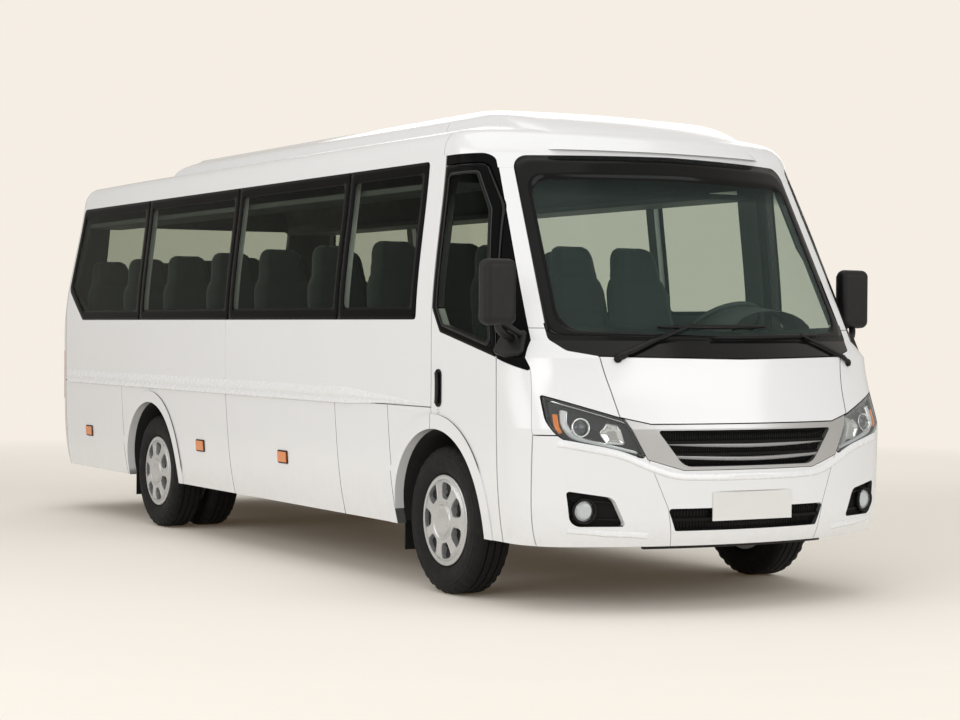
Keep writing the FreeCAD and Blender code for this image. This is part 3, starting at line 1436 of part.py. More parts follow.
def revolved(body, name, corners):
    sketch = profile(body, name + "_profile", "XY_Plane", corners)
    turn = body.newObject("PartDesign::Revolution", name)
    turn.Profile = sketch
    turn.ReferenceAxis = (sketch, ["H_Axis"])
    turn.Angle = 360
    sketch.Visibility = False
    return turn


def place(piece, side, half, y, z, spin=0.0):
    """Puts a piece that points outwards along +X on the left (1) or right (-1) side."""
    turn = Rotation(Vector(0, 0, 1), 0 if side > 0 else 180)
    turn = turn.multiply(Rotation(Vector(1, 0, 0), spin))
    piece.Placement = Placement(Vector(side * half, y, z), turn)


# Tyre section: share of the width, and of the height from the rim to the tread.
TYRE_SHARES = [(0.12, 0), (0.12, 0.1), (0.02, 0.35), (0, 0.5), (0.015, 0.72), (0.06, 0.9),
               (0.16, 1)]


def tyre_corners(start):
    width = link.tyre_width
    height = link.tyre_radius - link.rim_radius
    inner = [(start + width * across, link.rim_radius + height * up)
             for across, up in TYRE_SHARES]
    outer = [(start + width * (1 - across), link.rim_radius + height * up)
             for across, up in reversed(TYRE_SHARES)]
    return inner + outer


def add_tyre(label, side, half, start):
    body = doc.addObject("PartDesign::Body", label)
    body.Label = label
    revolved(body, label + "_ring", tyre_corners(start))
    place(body, side, half, 0, 0)
    return body


# Rim section: share of the tyre width, and share of the rim radius.
FLANGE_SHARES = [(0.065, 0.9), (0.065, 1.02), (0.117, 1.02), (0.117, 0.9986), (0.883, 0.9986),
                 (0.883, 1.02), (0.935, 1.02), (0.935, 0.93)]
COVER_SHARES = [(0.985, 0.8), (1.0, 0.46), (0.985, 0.4), (0.99, 0.34), (1.02, 0.3), (1.03, 0)]


def rim_corners(start, shares):
    width = link.tyre_width
    return [(start + width * across, link.rim_radius * up) for across, up in shares]


NOWHERE = Length(0, "0")
WINDOW_COUNT = 7


def cut_windows(body, label, start):
    """Openings between the broad spokes of a wheel cover."""
    low = link.rim_radius * 0.5
    high = link.rim_radius * 0.83
    corners = [(low * -0.2, low), (low * 0.2, low), (high * 0.24, high), (high * -0.24, high)]
    sketch = profile(body, label + "_window", "YZ_Plane", corners)
    pocket = body.newObject("PartDesign::Pocket", label + "_opening")
    pocket.Profile = sketch
    pocket.Type = "ThroughAll"
    pocket.Reversed = True
    pattern = body.newObject("PartDesign::PolarPattern", label + "_openings")
    pattern.Originals = [pocket]
    pattern.Axis = (origin_part(body, "X_Axis"), [""])
    pattern.Angle = 360
    pattern.Occurrences = WINDOW_COUNT
    body.Tip = pattern
    sketch.Visibility = False


def add_rim(label, side, half, corners, start):
    body = doc.addObject("PartDesign::Body", label)
    body.Label = label
    revolved(body, label + "_disc", corners)
    place(body, side, half, 0, 0)
    doc.recompute()
    before = body.Shape.Volume
    cut_windows(body, label, start)
    doc.recompute()
    if body.Shape.Volume >= before:
        raise RuntimeError(f"{label} has no openings")
    return body


def front_rim_corners():
    start = NOWHERE
    bore = link.spindle_radius + link.seat_gap
    back = [(link.tyre_width * 0.8, NOWHERE), (link.tyre_width * 0.8, bore),
            (link.tyre_width * 0.45, bore), (link.tyre_width * 0.45, link.hub_radius),
            (link.tyre_width * 0.93, link.hub_radius),
            (link.tyre_width * 0.915, link.rim_radius * 0.8),
            (link.tyre_width * 0.86, link.rim_radius * 0.9)]
    return rim_corners(start, FLANGE_SHARES) + rim_corners(start, COVER_SHARES) + back


def rear_rim_corners():
    """Twin wheel in one piece: two rims on one hub tube."""
    start = link.twin_spacing
    width = link.tyre_width
    bore = link.axle_tube_radius + link.seat_gap
    inner = rim_corners(NOWHERE, FLANGE_SHARES[:-1])
    inner += [(width * 0.935, link.rim_radius * 0.9), (width * 0.8, link.rim_radius * 0.9),
              (width * 0.8, link.hub_radius * 1.2)]
    between_rims = [(start + width * 0.93, link.hub_radius * 1.2),
                    (start + width * 0.915, link.rim_radius * 0.8),
                    (start + width * 0.86, link.rim_radius * 0.9)]
    outer = rim_corners(start, FLANGE_SHARES) + rim_corners(start, COVER_SHARES)
    back = [(start + width * 0.78, NOWHERE), (start + width * 0.78, bore),
            (width * 0.65, bore), (width * 0.65, link.rim_radius * 0.9)]
    return inner + between_rims + outer + back


def build_wheels():
    width = mm.tyre_width
    for side, name in ((-1, "right"), (1, "left")):
        spin = side * 90 / WINDOW_COUNT
        half = mm.front_track_half - width / 2
        tyre = add_tyre(f"front_tyre_{name}", side, half, NOWHERE)
        rim = add_rim(f"front_wheel_{name}", side, half, front_rim_corners(), NOWHERE)
        for piece in (tyre, rim):
            place(piece, side, half, FRONT_AXLE, mm.tyre_radius, spin)
            PIECES.append(piece)
        half -= mm.twin_spacing
        rim = add_rim(f"rear_wheel_{name}", side, half, rear_rim_corners(), link.twin_spacing)
        place(rim, side, half, REAR_AXLE, mm.tyre_radius, spin)
        PIECES.append(rim)
        twins = []
        for start, order in ((NOWHERE, "inner"), (link.twin_spacing, "outer")):
            tyre = add_tyre(f"rear_tyre_{order}_{name}", side, half, start)
            place(tyre, side, half, REAR_AXLE, mm.tyre_radius)
            twins.append(tyre)
        together = doc.addObject("Part::Compound", f"rear_tyres_{name}")
        together.Label = f"rear_tyres_{name}"
        together.Links = twins
        doc.recompute()
        PIECES.append(together)


def add_cylinder(label, radius, height, placement):
    piece = doc.addObject("Part::Cylinder", label)
    piece.setExpression("Radius", radius.text)
    piece.setExpression("Height", height.text)
    piece.Placement = placement
    return piece


def add_box(label, long, wide, tall, placement):
    piece = doc.addObject("Part::Box", label)
    piece.setExpression("Length", long.text)
    piece.setExpression("Width", wide.text)
    piece.setExpression("Height", tall.text)
    piece.Placement = placement
    return piece


def at(x, y, z, turn=Rotation()):
    return Placement(Vector(x, y, z), turn)


def build_knuckles():
    """Ears round the kingpin boss, a back plate, the spindle and the steering arm."""
    boss = mm.kingpin_tall / 2 + mm.seat_gap
    ear = mm.knuckle_plate
    wide = mm.kingpin_radius * 2
    clear = mm.kingpin_radius + mm.steer_gap
    sideways = Rotation(Vector(0, 1, 0), 90)
    hub_start = mm.front_track_half - mm.tyre_width * 0.5 + mm.tyre_width * 0.45
    spindle_start = clear
    for side, name in ((-1, "right"), (1, "left")):
        label = f"knuckle_{name}"
        parts = []
        for step, low in enumerate((boss, -boss - ear)):
            parts.append(add_cylinder(f"{label}_ear_{step}", link.kingpin_radius,
                                      link.knuckle_plate, at(0, 0, low)))
            parts.append(add_box(f"{label}_web_{step}", link.kingpin_radius * 2,
                                 link.kingpin_radius * 2, link.knuckle_plate,
                                 at(0, -wide / 2, low)))
        parts.append(add_box(f"{label}_plate", link.kingpin_radius * 2 - link.kingpin_radius
                             - link.steer_gap, link.kingpin_radius * 2,
                             link.kingpin_tall + link.knuckle_plate * 2 + link.seat_gap * 2,
                             at(clear, -wide / 2, -boss - ear)))
        parts.append(add_cylinder(f"{label}_pin", link.kingpin_radius * 0.5,
                                  link.kingpin_tall + link.knuckle_plate * 2,
                                  at(0, 0, -boss - ear + mm.seat_gap)))
        parts.append(add_cylinder(f"{label}_spindle", link.spindle_radius,
                                  link.front_track_half + link.tyre_width * 0.28
                                  - link.kingpin_half - link.kingpin_radius - link.steer_gap,
                                  at(spindle_start, 0, 0, sideways)))
        arm_start = 0 if side > 0 else -mm.arm_long
        parts.append(add_box(f"{label}_arm", link.knuckle_plate, link.arm_long,
                             link.knuckle_plate, at(-ear, arm_start, -boss - ear)))
        fused = doc.addObject("Part::MultiFuse", label)
        fused.Label = label
        fused.Shapes = parts
        doc.recompute()
        place(fused, side, mm.kingpin_half, FRONT_AXLE, mm.tyre_radius)
        PIECES.append(fused)


def build_track_rod():
    """Rod between the steering arms, on a stud above each arm's end."""
    y = FRONT_AXLE + mm.arm_long - mm.rod_radius
    top = mm.tyre_radius - mm.kingpin_tall / 2 - mm.seat_gap - mm.knuckle_plate
    z = top - mm.rod_radius - mm.seat_gap
    half = mm.kingpin_half - mm.knuckle_plate / 2
    rod = add_cylinder("track_rod", link.rod_radius, link.kingpin_half * 2,
                       at(-half - mm.knuckle_plate / 2, y, z, Rotation(Vector(0, 1, 0), 90)))
    rod.Label = "track_rod"
    PIECES.append(rod)


cap_block = build_roof()
build_side()
build_skirts()
build_markers()
door_gap_space = build_doors()
build_front(cap_block, door_gap_space)
build_rear()
build_carriers()
build_floor()
build_frame()
build_springs()
nose_tip = build_axles()
build_driveline(nose_tip)
build_flaps()
build_dashboard()
build_steering_wheel()
build_seats()
build_racks()
build_mirrors()
build_wipers()
build_wheels()
build_knuckles()
build_track_rod()


def finish():
    doc.recompute()
    for item in doc.Objects:
        bad = [state for state in item.State if state in ("Invalid", "Error")]
        if bad:
            raise RuntimeError(f"{item.Name} is {bad}")
    os.makedirs("parts", exist_ok=True)
    for piece in PIECES:
        shape = piece.Shape
        if shape.isNull() or not shape.isValid():
            raise RuntimeError(f"{piece.Label} has no valid shape")
        shape.exportStep(f"parts/{piece.Label}.step")
        print(piece.Label, len(shape.Solids), round(shape.Volume / 1e6, 2), "litres")


finish()
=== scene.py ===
import json
import math

import bmesh
import bpy
from mathutils import Matrix, Vector
from mathutils.bvhtree import BVHTree


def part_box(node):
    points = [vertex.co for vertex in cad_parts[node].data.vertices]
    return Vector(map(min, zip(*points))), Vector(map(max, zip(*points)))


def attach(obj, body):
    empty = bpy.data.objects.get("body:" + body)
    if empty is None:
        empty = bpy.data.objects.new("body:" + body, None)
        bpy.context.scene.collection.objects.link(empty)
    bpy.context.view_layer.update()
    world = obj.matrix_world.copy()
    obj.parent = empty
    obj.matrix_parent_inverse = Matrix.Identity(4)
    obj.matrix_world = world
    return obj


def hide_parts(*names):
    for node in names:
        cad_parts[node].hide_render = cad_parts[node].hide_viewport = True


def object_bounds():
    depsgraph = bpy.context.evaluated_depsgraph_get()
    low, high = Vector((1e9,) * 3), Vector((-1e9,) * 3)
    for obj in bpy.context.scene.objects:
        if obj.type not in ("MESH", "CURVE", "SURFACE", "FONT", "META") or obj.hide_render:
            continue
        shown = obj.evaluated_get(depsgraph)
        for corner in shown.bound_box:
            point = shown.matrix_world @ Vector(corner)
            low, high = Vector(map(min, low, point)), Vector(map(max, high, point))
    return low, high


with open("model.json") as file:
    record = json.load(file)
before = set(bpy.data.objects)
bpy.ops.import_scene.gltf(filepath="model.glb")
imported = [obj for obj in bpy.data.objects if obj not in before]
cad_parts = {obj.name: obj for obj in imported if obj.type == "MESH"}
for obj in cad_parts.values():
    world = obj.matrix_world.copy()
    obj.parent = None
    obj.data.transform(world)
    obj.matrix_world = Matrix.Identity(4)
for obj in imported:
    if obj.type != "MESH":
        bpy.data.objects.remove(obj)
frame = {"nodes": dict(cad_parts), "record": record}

CAD_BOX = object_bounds()
NODES = frame["nodes"]

# Places along the vehicle, in metres: front is -Y, right side is -X
FRONT = -3.735
REAR = 3.735
FRONT_AXLE = FRONT + 1.246
REAR_AXLE = FRONT_AXLE + 4.131
HUB = 0.3835


# ---- materials

def put(tree, socket, value):
    """A number, a colour or another node's output goes into a node's socket."""
    if isinstance(value, bpy.types.NodeSocket):
        tree.links.new(value, socket)
    else:
        socket.default_value = (*value, 1) if socket.type == "RGBA" else value


def new_node(tree, kind, inputs=None, **values):
    """A node with its settings, and a number, a colour or a link for its inputs."""
    made = tree.nodes.new(kind)
    for key, value in values.items():
        setattr(made, key, value)
    for key, value in (inputs or {}).items():
        put(tree, made.inputs[key], value)
    return made


class Shade:
    """A node material with its texture helpers."""

    def __init__(self, name, color, rough, metal=0.0, **inputs):
        self.mat = bpy.data.materials.new(name)
        self.mat.use_nodes = True
        self.tree = self.mat.node_tree
        self.bsdf = self.tree.nodes["Principled BSDF"]
        self.feed(Base_Color=color, Roughness=rough, Metallic=metal, **inputs)
        self.color = color
        self.rough = rough
        self.place = self.node("ShaderNodeTexCoord").outputs["Object"]

    def node(self, kind, inputs=None, **values):
        return new_node(self.tree, kind, inputs, **values)

    def feed(self, **inputs):
        """Values or links for the surface's inputs, named with _ for a space."""
        for key, value in inputs.items():
            put(self.tree, self.bsdf.inputs[key.replace("_", " ")], value)

    def noise(self, scale, detail, rough):
        return self.node("ShaderNodeTexNoise", {"Scale": scale, "Detail": detail,
                                                "Roughness": rough,
                                                "Vector": self.place}).outputs["Fac"]

    def span(self, value, low, high, to_low=0, to_high=1):
        return self.node("ShaderNodeMapRange", {"From Min": low, "From Max": high,
                                                "To Min": to_low, "To Max": to_high,
                                                "Value": value}).outputs["Result"]

    def math(self, operation, a, b):
        return self.node("ShaderNodeMath", {0: a, 1: b}, operation=operation).outputs[0]

    def mix(self, factor, a, b):
        made = self.node("ShaderNodeMix", {"Factor": factor}, data_type="RGBA")
        for slot, value in (("A", a), ("B", b)):
            socket = [s for s in made.inputs if s.name == slot and s.type == "RGBA"][0]
            put(self.tree, socket, value)
        return [s for s in made.outputs if s.type == "RGBA"][0]

    def height(self, value, strength, distance):
        return self.node("ShaderNodeBump", {"Strength": strength, "Distance": distance,
                                            "Height": value}).outputs["Normal"]

    def axis(self, which):
        return self.node("ShaderNodeSeparateXYZ", {0: self.place}).outputs[which]

    def see_through(self, amount, clear, other):
        """The surface is mixed from two shaders by an amount."""
        blend = self.node("ShaderNodeMixShader", {0: amount, 1: clear, 2: other})
        put(self.tree, self.tree.nodes["Material Output"].inputs["Surface"], blend.outputs[0])

    def weathered(self, tint, wear, grain=0.0, grain_scale=900, deep=0.0003):
        """Colour and roughness drift, and a fine grain."""
        cloud = self.noise(2.2, 4.0, 0.6)
        dark = tuple(c * (1 - tint) for c in self.color)
        pale = tuple(min(1.0, c * (1 + tint * 0.6)) for c in self.color)
        self.tone = self.mix(self.span(cloud, 0.3, 0.7), dark, pale)
        streak = self.noise(2.2 * 9, 5.0, 0.65)
        self.feed(Base_Color=self.tone,
                  Roughness=self.span(streak, 0.3, 0.7, max(0.02, self.rough - wear),
                                      min(1.0, self.rough + wear)))
        if grain:
            self.feed(Normal=self.height(self.noise(grain_scale, 2.0, 0.5), grain, deep))
        return self


def inner_mask(shade):
    """1 on the faces of the shell that look into the cabin, 0 outside."""
    along = shade.node("ShaderNodeClamp", {"Min": FRONT + 1.2, "Max": REAR - 1.0,
                                           "Value": shade.axis("Y")})
    centre = shade.node("ShaderNodeCombineXYZ", {"Y": along.outputs[0], "Z": 1.5})
    away = shade.node("ShaderNodeVectorMath", {0: shade.place, 1: centre.outputs[0]},
                      operation="SUBTRACT")
    facing = shade.node("ShaderNodeTexCoord").outputs["Normal"]
    dot = shade.node("ShaderNodeVectorMath", {0: away.outputs[0], 1: facing},
                     operation="DOT_PRODUCT")
    return shade.span(dot.outputs["Value"], -0.02, -0.12)


# The lower edge of the door glass climbs rearwards along this line
BELT_SLOPE = 0.21
BELT_HEIGHT = 1.899


def paint(name, color, inside, framed=False):
    """Gloss body paint outside, grained trim inside, and black round a framed window."""
    s = Shade(name, color, 0.24, Coat_Weight=0.8, Coat_Roughness=0.13, IOR=1.5)
    cloud = s.noise(1.4, 4.0, 0.6)
    tone = s.mix(s.span(cloud, 0.3, 0.7), tuple(c * 0.985 for c in color), color)
    low = s.span(s.axis("Z"), 0.62, 0.3)
    dust = s.math("MULTIPLY", low, s.span(s.noise(14, 6.0, 0.7), 0.35, 0.75, 0, 0.16))
    tone = s.mix(dust, tone, (0.42, 0.39, 0.35))
    if framed:
        height = s.math("SUBTRACT", s.axis("Z"), s.math("MULTIPLY", s.axis("Y"), BELT_SLOPE))
        above = s.span(height, BELT_HEIGHT, BELT_HEIGHT + 0.001)
        ahead = s.span(s.axis("Y"), -2.620, -2.621)
        high = s.span(s.axis("Z"), 1.482, 1.483)
        around = s.math("MULTIPLY", above, s.math("MAXIMUM", ahead, high))
        tone = s.mix(around, tone, (0.006, 0.006, 0.0065))
        s.feed(Coat_Weight=s.span(around, 0, 1, 0.8, 0.05))
    mask = inner_mask(s)
    trim = s.mix(s.span(s.noise(30, 5.0, 0.6), 0.3, 0.7), inside, tuple(c * 1.25 for c in inside))
    swirl = s.span(s.noise(9, 4.0, 0.6), 0.3, 0.75, 0.2, 0.27)
    outside = s.math("MULTIPLY", swirl, s.math("SUBTRACT", 1.0, mask))
    s.feed(Base_Color=s.mix(mask, tone, trim),
           Roughness=s.math("ADD", outside, s.math("MULTIPLY", mask, 0.75)),
           Normal=s.height(s.noise(420, 2.0, 0.5), 0.05, 0.0003),
           Coat_Normal=s.height(s.noise(1500, 2.0, 0.5), 0.01, 0.0002))
    return s.mat


def simple(name, color, rough, metal=0.0, grain=0.0, scale=900, tint=0.06, wear=0.08, deep=0.0003,
           **inputs):
    return Shade(name, color, rough, metal, **inputs).weathered(tint, wear, grain, scale, deep).mat


def glass(name, tint, clear, smoke, band=None):
    """Thin glass: a tinted see-through layer under a clear reflection."""
    gloss = 0.02
    s = Shade(name, tint, gloss, IOR=1.5, Specular_IOR_Level=0.5)
    haze = s.noise(5, 5.0, 0.65)
    s.feed(Roughness=s.span(haze, 0.35, 0.75, gloss, gloss + 0.05),
           Base_Color=s.mix(s.span(haze, 0.3, 0.7), tuple(c * 0.9 for c in tint), tint))
    if band is not None:
        low, high, dark = band
        clear = s.mix(s.span(s.axis("Z"), low, high), clear, dark)
    through = s.node("ShaderNodeBsdfTransparent", {"Color": clear})
    facing = s.node("ShaderNodeLayerWeight", {"Blend": 0.5}).outputs["Facing"]
    graze = s.math("MULTIPLY", s.math("POWER", facing, 5.0), 0.9)
    s.see_through(s.math("ADD", graze, 0.03 + smoke), through.outputs[0], s.bsdf.outputs[0])
    s.mat.blend_method = "BLEND"
    return s.mat


WHITE = paint("white_paint", (0.79, 0.797, 0.81), (0.075, 0.08, 0.078))
DOOR = paint("door_paint", (0.79, 0.797, 0.81), (0.075, 0.08, 0.078), True)
WHITE_SIMPLE = simple("white_gloss", (0.8, 0.807, 0.82), 0.26, grain=0.01, scale=600, tint=0.02,
                      Coat_Weight=0.6, Coat_Roughness=0.15)
FRIT = simple("black_gloss", (0.006, 0.0063, 0.0066), 0.14, grain=0.01, tint=0.2, wear=0.05,
              Specular_IOR_Level=0.14)
EDGE_BLACK = simple("edge_black", (0.005, 0.0053, 0.0055), 0.16, grain=0.01, tint=0.2, wear=0.05,
                    Specular_IOR_Level=0.02)
# Grey for the joints between the side panes, and a painted highlight along the door window's seal
JOINT_AND_SEAL_HIGHLIGHT = simple("joint_grey_and_seal_highlight", (0.07, 0.07, 0.07), 0.6, grain=0.1, tint=0.1, Specular_IOR_Level=0.1)
SLAT = simple("slat_grey", (0.30, 0.305, 0.31), 0.34, 0.35, grain=0.02, scale=1300, tint=0.03)
BLACK = simple("black_plastic", (0.009, 0.009, 0.0095), 0.5, grain=0.25, scale=1600, tint=0.15,
               Specular_IOR_Level=0.3)
DEEP = simple("deep_black", (0.004, 0.004, 0.004), 0.6, grain=0.2, scale=1200, tint=0.2,
              Specular_IOR_Level=0.15)
SATIN_BLACK = simple("satin_black", (0.006, 0.006, 0.0064), 0.36, grain=0.1, scale=1400,
                     tint=0.15, Specular_IOR_Level=0.2)
RUBBER = simple("black_rubber", (0.006, 0.006, 0.0062), 0.72, grain=0.2, scale=700, tint=0.2,
                Specular_IOR_Level=0.28)
SILVER = simple("satin_silver", (0.56, 0.565, 0.57), 0.32, 0.8, grain=0.02, scale=1300,
                tint=0.015, wear=0.02)
CHROME = simple("chrome", (0.82, 0.83, 0.84), 0.07, 1.0, grain=0.01, tint=0.02, wear=0.04)
COVER = simple("cover_silver", (0.56, 0.565, 0.57), 0.33, 0.7, grain=0.01, scale=1500, tint=0.04,
               Coat_Weight=0.3, Coat_Roughness=0.15)
# Dark drum metal, painted near black as shade inside the wheel, seen through the cover openings
DRUM_METAL_AND_PAINTED_SHADE = simple("brake_drum_and_painted_shade", (0.010, 0.010, 0.011), 0.6, 0.2, grain=0.3, scale=260, tint=0.3)
STEEL = simple("dull_steel", (0.34, 0.33, 0.32), 0.45, 0.9, grain=0.1, scale=500, tint=0.15)
CAST = simple("casting", (0.05, 0.05, 0.052), 0.6, 0.3, grain=0.5, scale=260, tint=0.3, deep=0.0008)
CHASSIS = simple("chassis_black", (0.022, 0.022, 0.024), 0.45, 0.0, grain=0.15, scale=300, tint=0.3)
LINER = simple("arch_liner", (0.012, 0.012, 0.012), 0.85, grain=0.5, scale=220, tint=0.3,
               deep=0.0008)
TANK = simple("tank_plastic", (0.028, 0.028, 0.03), 0.55, grain=0.2, scale=500, tint=0.2)
VINYL = simple("floor_covering", (0.06, 0.062, 0.065), 0.6, grain=0.4, scale=160, tint=0.25,
               deep=0.001)
TRIM = simple("cabin_trim", (0.045, 0.05, 0.05), 0.62, grain=0.35, scale=900, tint=0.2)
TRIM_PALE = simple("rack_trim", (0.11, 0.12, 0.118), 0.6, grain=0.3, scale=900, tint=0.15)
PLATE = simple("blank_plate", (0.72, 0.72, 0.7), 0.35, grain=0.05, scale=500, tint=0.04)
SIDE_GLASS = glass("tinted_glass", (0.012, 0.016, 0.016), (0.79, 0.815, 0.77), 0.0)
SCREEN = glass("windscreen_glass", (0.14, 0.19, 0.18), (0.87, 0.91, 0.885), 0.06,
               (2.05, 2.15, (0.10, 0.15, 0.145)))
LENS = glass("clear_lens", (0.6, 0.62, 0.62), (0.93, 0.94, 0.94), 0.02)
AMBER = simple("amber_lens", (0.75, 0.2, 0.012), 0.18, grain=0.3, scale=260, tint=0.1,
               Coat_Weight=0.8)
RED = simple("red_lens", (0.35, 0.008, 0.008), 0.16, grain=0.3, scale=240, tint=0.12,
             Coat_Weight=0.8)

WHEEL_PAINT = simple("rim_silver", (0.42, 0.43, 0.44), 0.4, 0.7, grain=0.08, scale=900, tint=0.1)
LAMP_DARK = simple("lamp_bowl", (0.018, 0.019, 0.021), 0.22, grain=0.03, scale=700, tint=0.2)
# Pale grey: the light bar's own milky colour, and on the fog lamp's reflector a painted reflection
LIGHT_BAR_AND_PAINTED_REFLECTION = simple("light_bar_and_painted_reflection", (0.62, 0.64, 0.65), 0.18, grain=0.05, scale=500, tint=0.05,
                   Coat_Weight=0.6)
PROJECTOR = simple("projector_glass", (0.05, 0.055, 0.07), 0.05, grain=0.01, tint=0.1,
                   Coat_Weight=1.0)
MIRROR = simple("mirror_glass", (0.72, 0.74, 0.75), 0.03, 1.0, grain=0.004, tint=0.02, wear=0.02)


def cloth():
    """Woven seat cloth: crossing threads, with a faint fleck."""
    s = Shade("seat_cloth", (0.035, 0.045, 0.047), 0.88, Sheen_Weight=0.25)
    s.weathered(0.25, 0.06)
    warp, weft = (s.node("ShaderNodeTexWave", {"Scale": 260, "Distortion": 0.6, "Vector": s.place},
                         wave_type="BANDS", bands_direction=way).outputs["Fac"] for way in "XZ")
    fleck = s.span(s.noise(700, 2.0, 0.5), 0.58, 0.7)
    s.feed(Base_Color=s.mix(fleck, s.tone, (0.075, 0.09, 0.092)),
           Normal=s.height(s.math("MAXIMUM", warp, weft), 0.5, 0.0007))
    return s.mat


CLOTH = cloth()

SLOT_LOOKS = {
    "white_paint": WHITE, "tinted_glass": SIDE_GLASS, "windscreen_glass": SCREEN,
    "amber_lens": AMBER, "black_plastic": BLACK, "satin_silver": SILVER, "lamp_glass": LENS,
    "plate_white": PLATE, "red_lens": RED, "black_rubber": RUBBER, "chassis_paint": CHASSIS,
    "cast_metal": CAST, "bare_steel": STEEL, "tank_plastic": TANK, "floor_covering": VINYL,
    "cabin_plastic": TRIM, "seat_cloth": TRIM, "wheel_silver": COVER, "tyre_rubber": RUBBER,
}
NODE_LOOKS = {"wheel_housings": LINER, "front_sails": EDGE_BLACK, "cowl": FRIT,
              "front_door_right": DOOR, "front_door_left": DOOR,
              "luggage_racks": TRIM_PALE, "grilles": DEEP, "fog_lamps": DEEP}


def dress_nodes():
    for part in frame["record"]["subparts"]:
        name = part["node"]
        look = NODE_LOOKS.get(name, SLOT_LOOKS[part["material_slot"]])
        mesh = NODES[name].data
        mesh.materials.clear()
        mesh.materials.append(look)


dress_nodes()

# ---- helpers for meshes

def within(point):
    """The point, moved into the box of the construction where it stands past it."""
    return tuple(min(max(value, low + 0.0002), high - 0.0002)
                 for value, low, high in zip(point, CAD_BOX[0], CAD_BOX[1]))


def placed(name, data, at=(0, 0, 0)):
    """A new object in the scene."""
    piece = bpy.data.objects.new(name, data)
    bpy.context.scene.collection.objects.link(piece)
    piece.location = at
    return piece


def make(name, verts, faces, look, body="root"):
    """A smooth piece that rides on a body, with doubled points joined."""
    mesh = bpy.data.meshes.new(name)
    mesh.from_pydata([within(v) for v in verts], [], faces)
    tidy = bmesh.new()
    tidy.from_mesh(mesh)
    bmesh.ops.remove_doubles(tidy, verts=tidy.verts, dist=0.00002)
    bmesh.ops.dissolve_degenerate(tidy, edges=tidy.edges, dist=0.00001)
    bmesh.ops.recalc_face_normals(tidy, faces=tidy.faces)
    tidy.to_mesh(mesh)
    tidy.free()
    mesh.materials.append(look)
    mesh.shade_smooth()
    piece = placed(name, mesh)
    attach(piece, body)
    return piece


def sharpen(piece, degrees):
    """Hard edges above an angle, soft shading below it."""
    mesh = piece.data
    made = bmesh.new()
    made.from_mesh(mesh)
    limit = math.radians(degrees)
    for edge in made.edges:
        if len(edge.link_faces) == 2:
            edge.smooth = edge.calc_face_angle(0) < limit
    made.to_mesh(mesh)
    made.free()


def other_side(point):
    return (-point[0], point[1], point[2])


def twin(name, verts, faces, look, body="root"):
    """The piece on the right side, and its mirror image."""
    bodies = body if isinstance(body, tuple) else (body, body)
    right = make(name + "_right", verts, faces, look, bodies[0])
    make(name + "_left", [other_side(v) for v in verts], faces, look, bodies[1])
    return right


def both_sides(half):
    """The right half of an outline and its mirror image; a point in the middle isn't doubled."""
    return half + [(-x, *rest) for x, *rest in reversed(half) if x != 0]


def strip_mesh(loops):
    """Verts and faces of closed loops joined one to the next."""
    count = len(loops[0])
    verts = [v for loop in loops for v in loop]
    faces = []
    for row in range(len(loops) - 1):
        for step in range(count):
            following = (step + 1) % count
            a = row * count
            b = a + count
            faces.append((a + step, a + following, b + following, b + step))
    return verts, faces


def bar_mesh(loops):
    """Closed loops joined one to the next, with a flat face on either end."""
    verts, faces = strip_mesh(loops)
    size = len(loops[0])
    faces.append(tuple(range(size)))
    faces.append(tuple(range(len(verts) - size, len(verts))))
    return verts, faces


def fan(verts, faces, start, count, middle):
    """Closes the loop that begins at start, by triangles about a middle point."""
    verts.append(middle)
    faces += [(start + i, start + (i + 1) % count, len(verts) - 1) for i in range(count)]


def add_mesh(verts, faces, more_verts, more_faces):
    start = len(verts)
    verts += list(more_verts)
    faces += [tuple(start + i for i in face) for face in more_faces]


def revolve(profile, count):
    """Verts and faces of a profile (x, r) turned about the X axis."""
    verts = []
    faces = []
    size = len(profile)
    for step in range(count):
        angle = 2 * math.pi * step / count
        for x, r in profile:
            verts.append((x, r * math.cos(angle), r * math.sin(angle)))
        a = step * size
        b = (step + 1) % count * size
        faces += [(a + row, a + row + 1, b + row + 1, b + row) for row in range(size - 1)]
    return verts, faces


def tube(points, radius, segments=10):
    """Verts and faces of a closed tube along points; radius may be one number or a list."""
    points = [Vector(p) for p in points]
    loops = []
    side = None
    for index, point in enumerate(points):
        before = points[max(index - 1, 0)]
        after = points[min(index + 1, len(points) - 1)]
        way = (after - before).normalized()
        if side is None:
            side = way.cross(Vector((0, 0, 1)))
            if side.length < 0.1:
                side = way.cross(Vector((0, 1, 0)))
        side = (side - way * side.dot(way)).normalized()
        up = way.cross(side)
        size = radius[index] if isinstance(radius, list) else radius
        angles = [2 * math.pi * step / segments for step in range(segments)]
        loops.append([point + side * (math.cos(angle) * size) + up * (math.sin(angle) * size)
                      for angle in angles])
    return bar_mesh(loops)


def curve(points, count):
    """Smooth path through points."""
    points = [Vector(p) for p in points]
    result = []
    spans = len(points) - 1
    for step in range(count + 1):
        place = spans * step / count
        index = min(int(place), spans - 1)
        t = place - index
        p0 = points[max(index - 1, 0)]
        p1 = points[index]
        p2 = points[index + 1]
        p3 = points[min(index + 2, spans)]
        result.append(0.5 * ((2 * p1) + (p2 - p0) * t + (2 * p0 - 5 * p1 + 4 * p2 - p3) * t ** 2
                             + (3 * p1 - p0 - 3 * p2 + p3) * t ** 3))
    return result


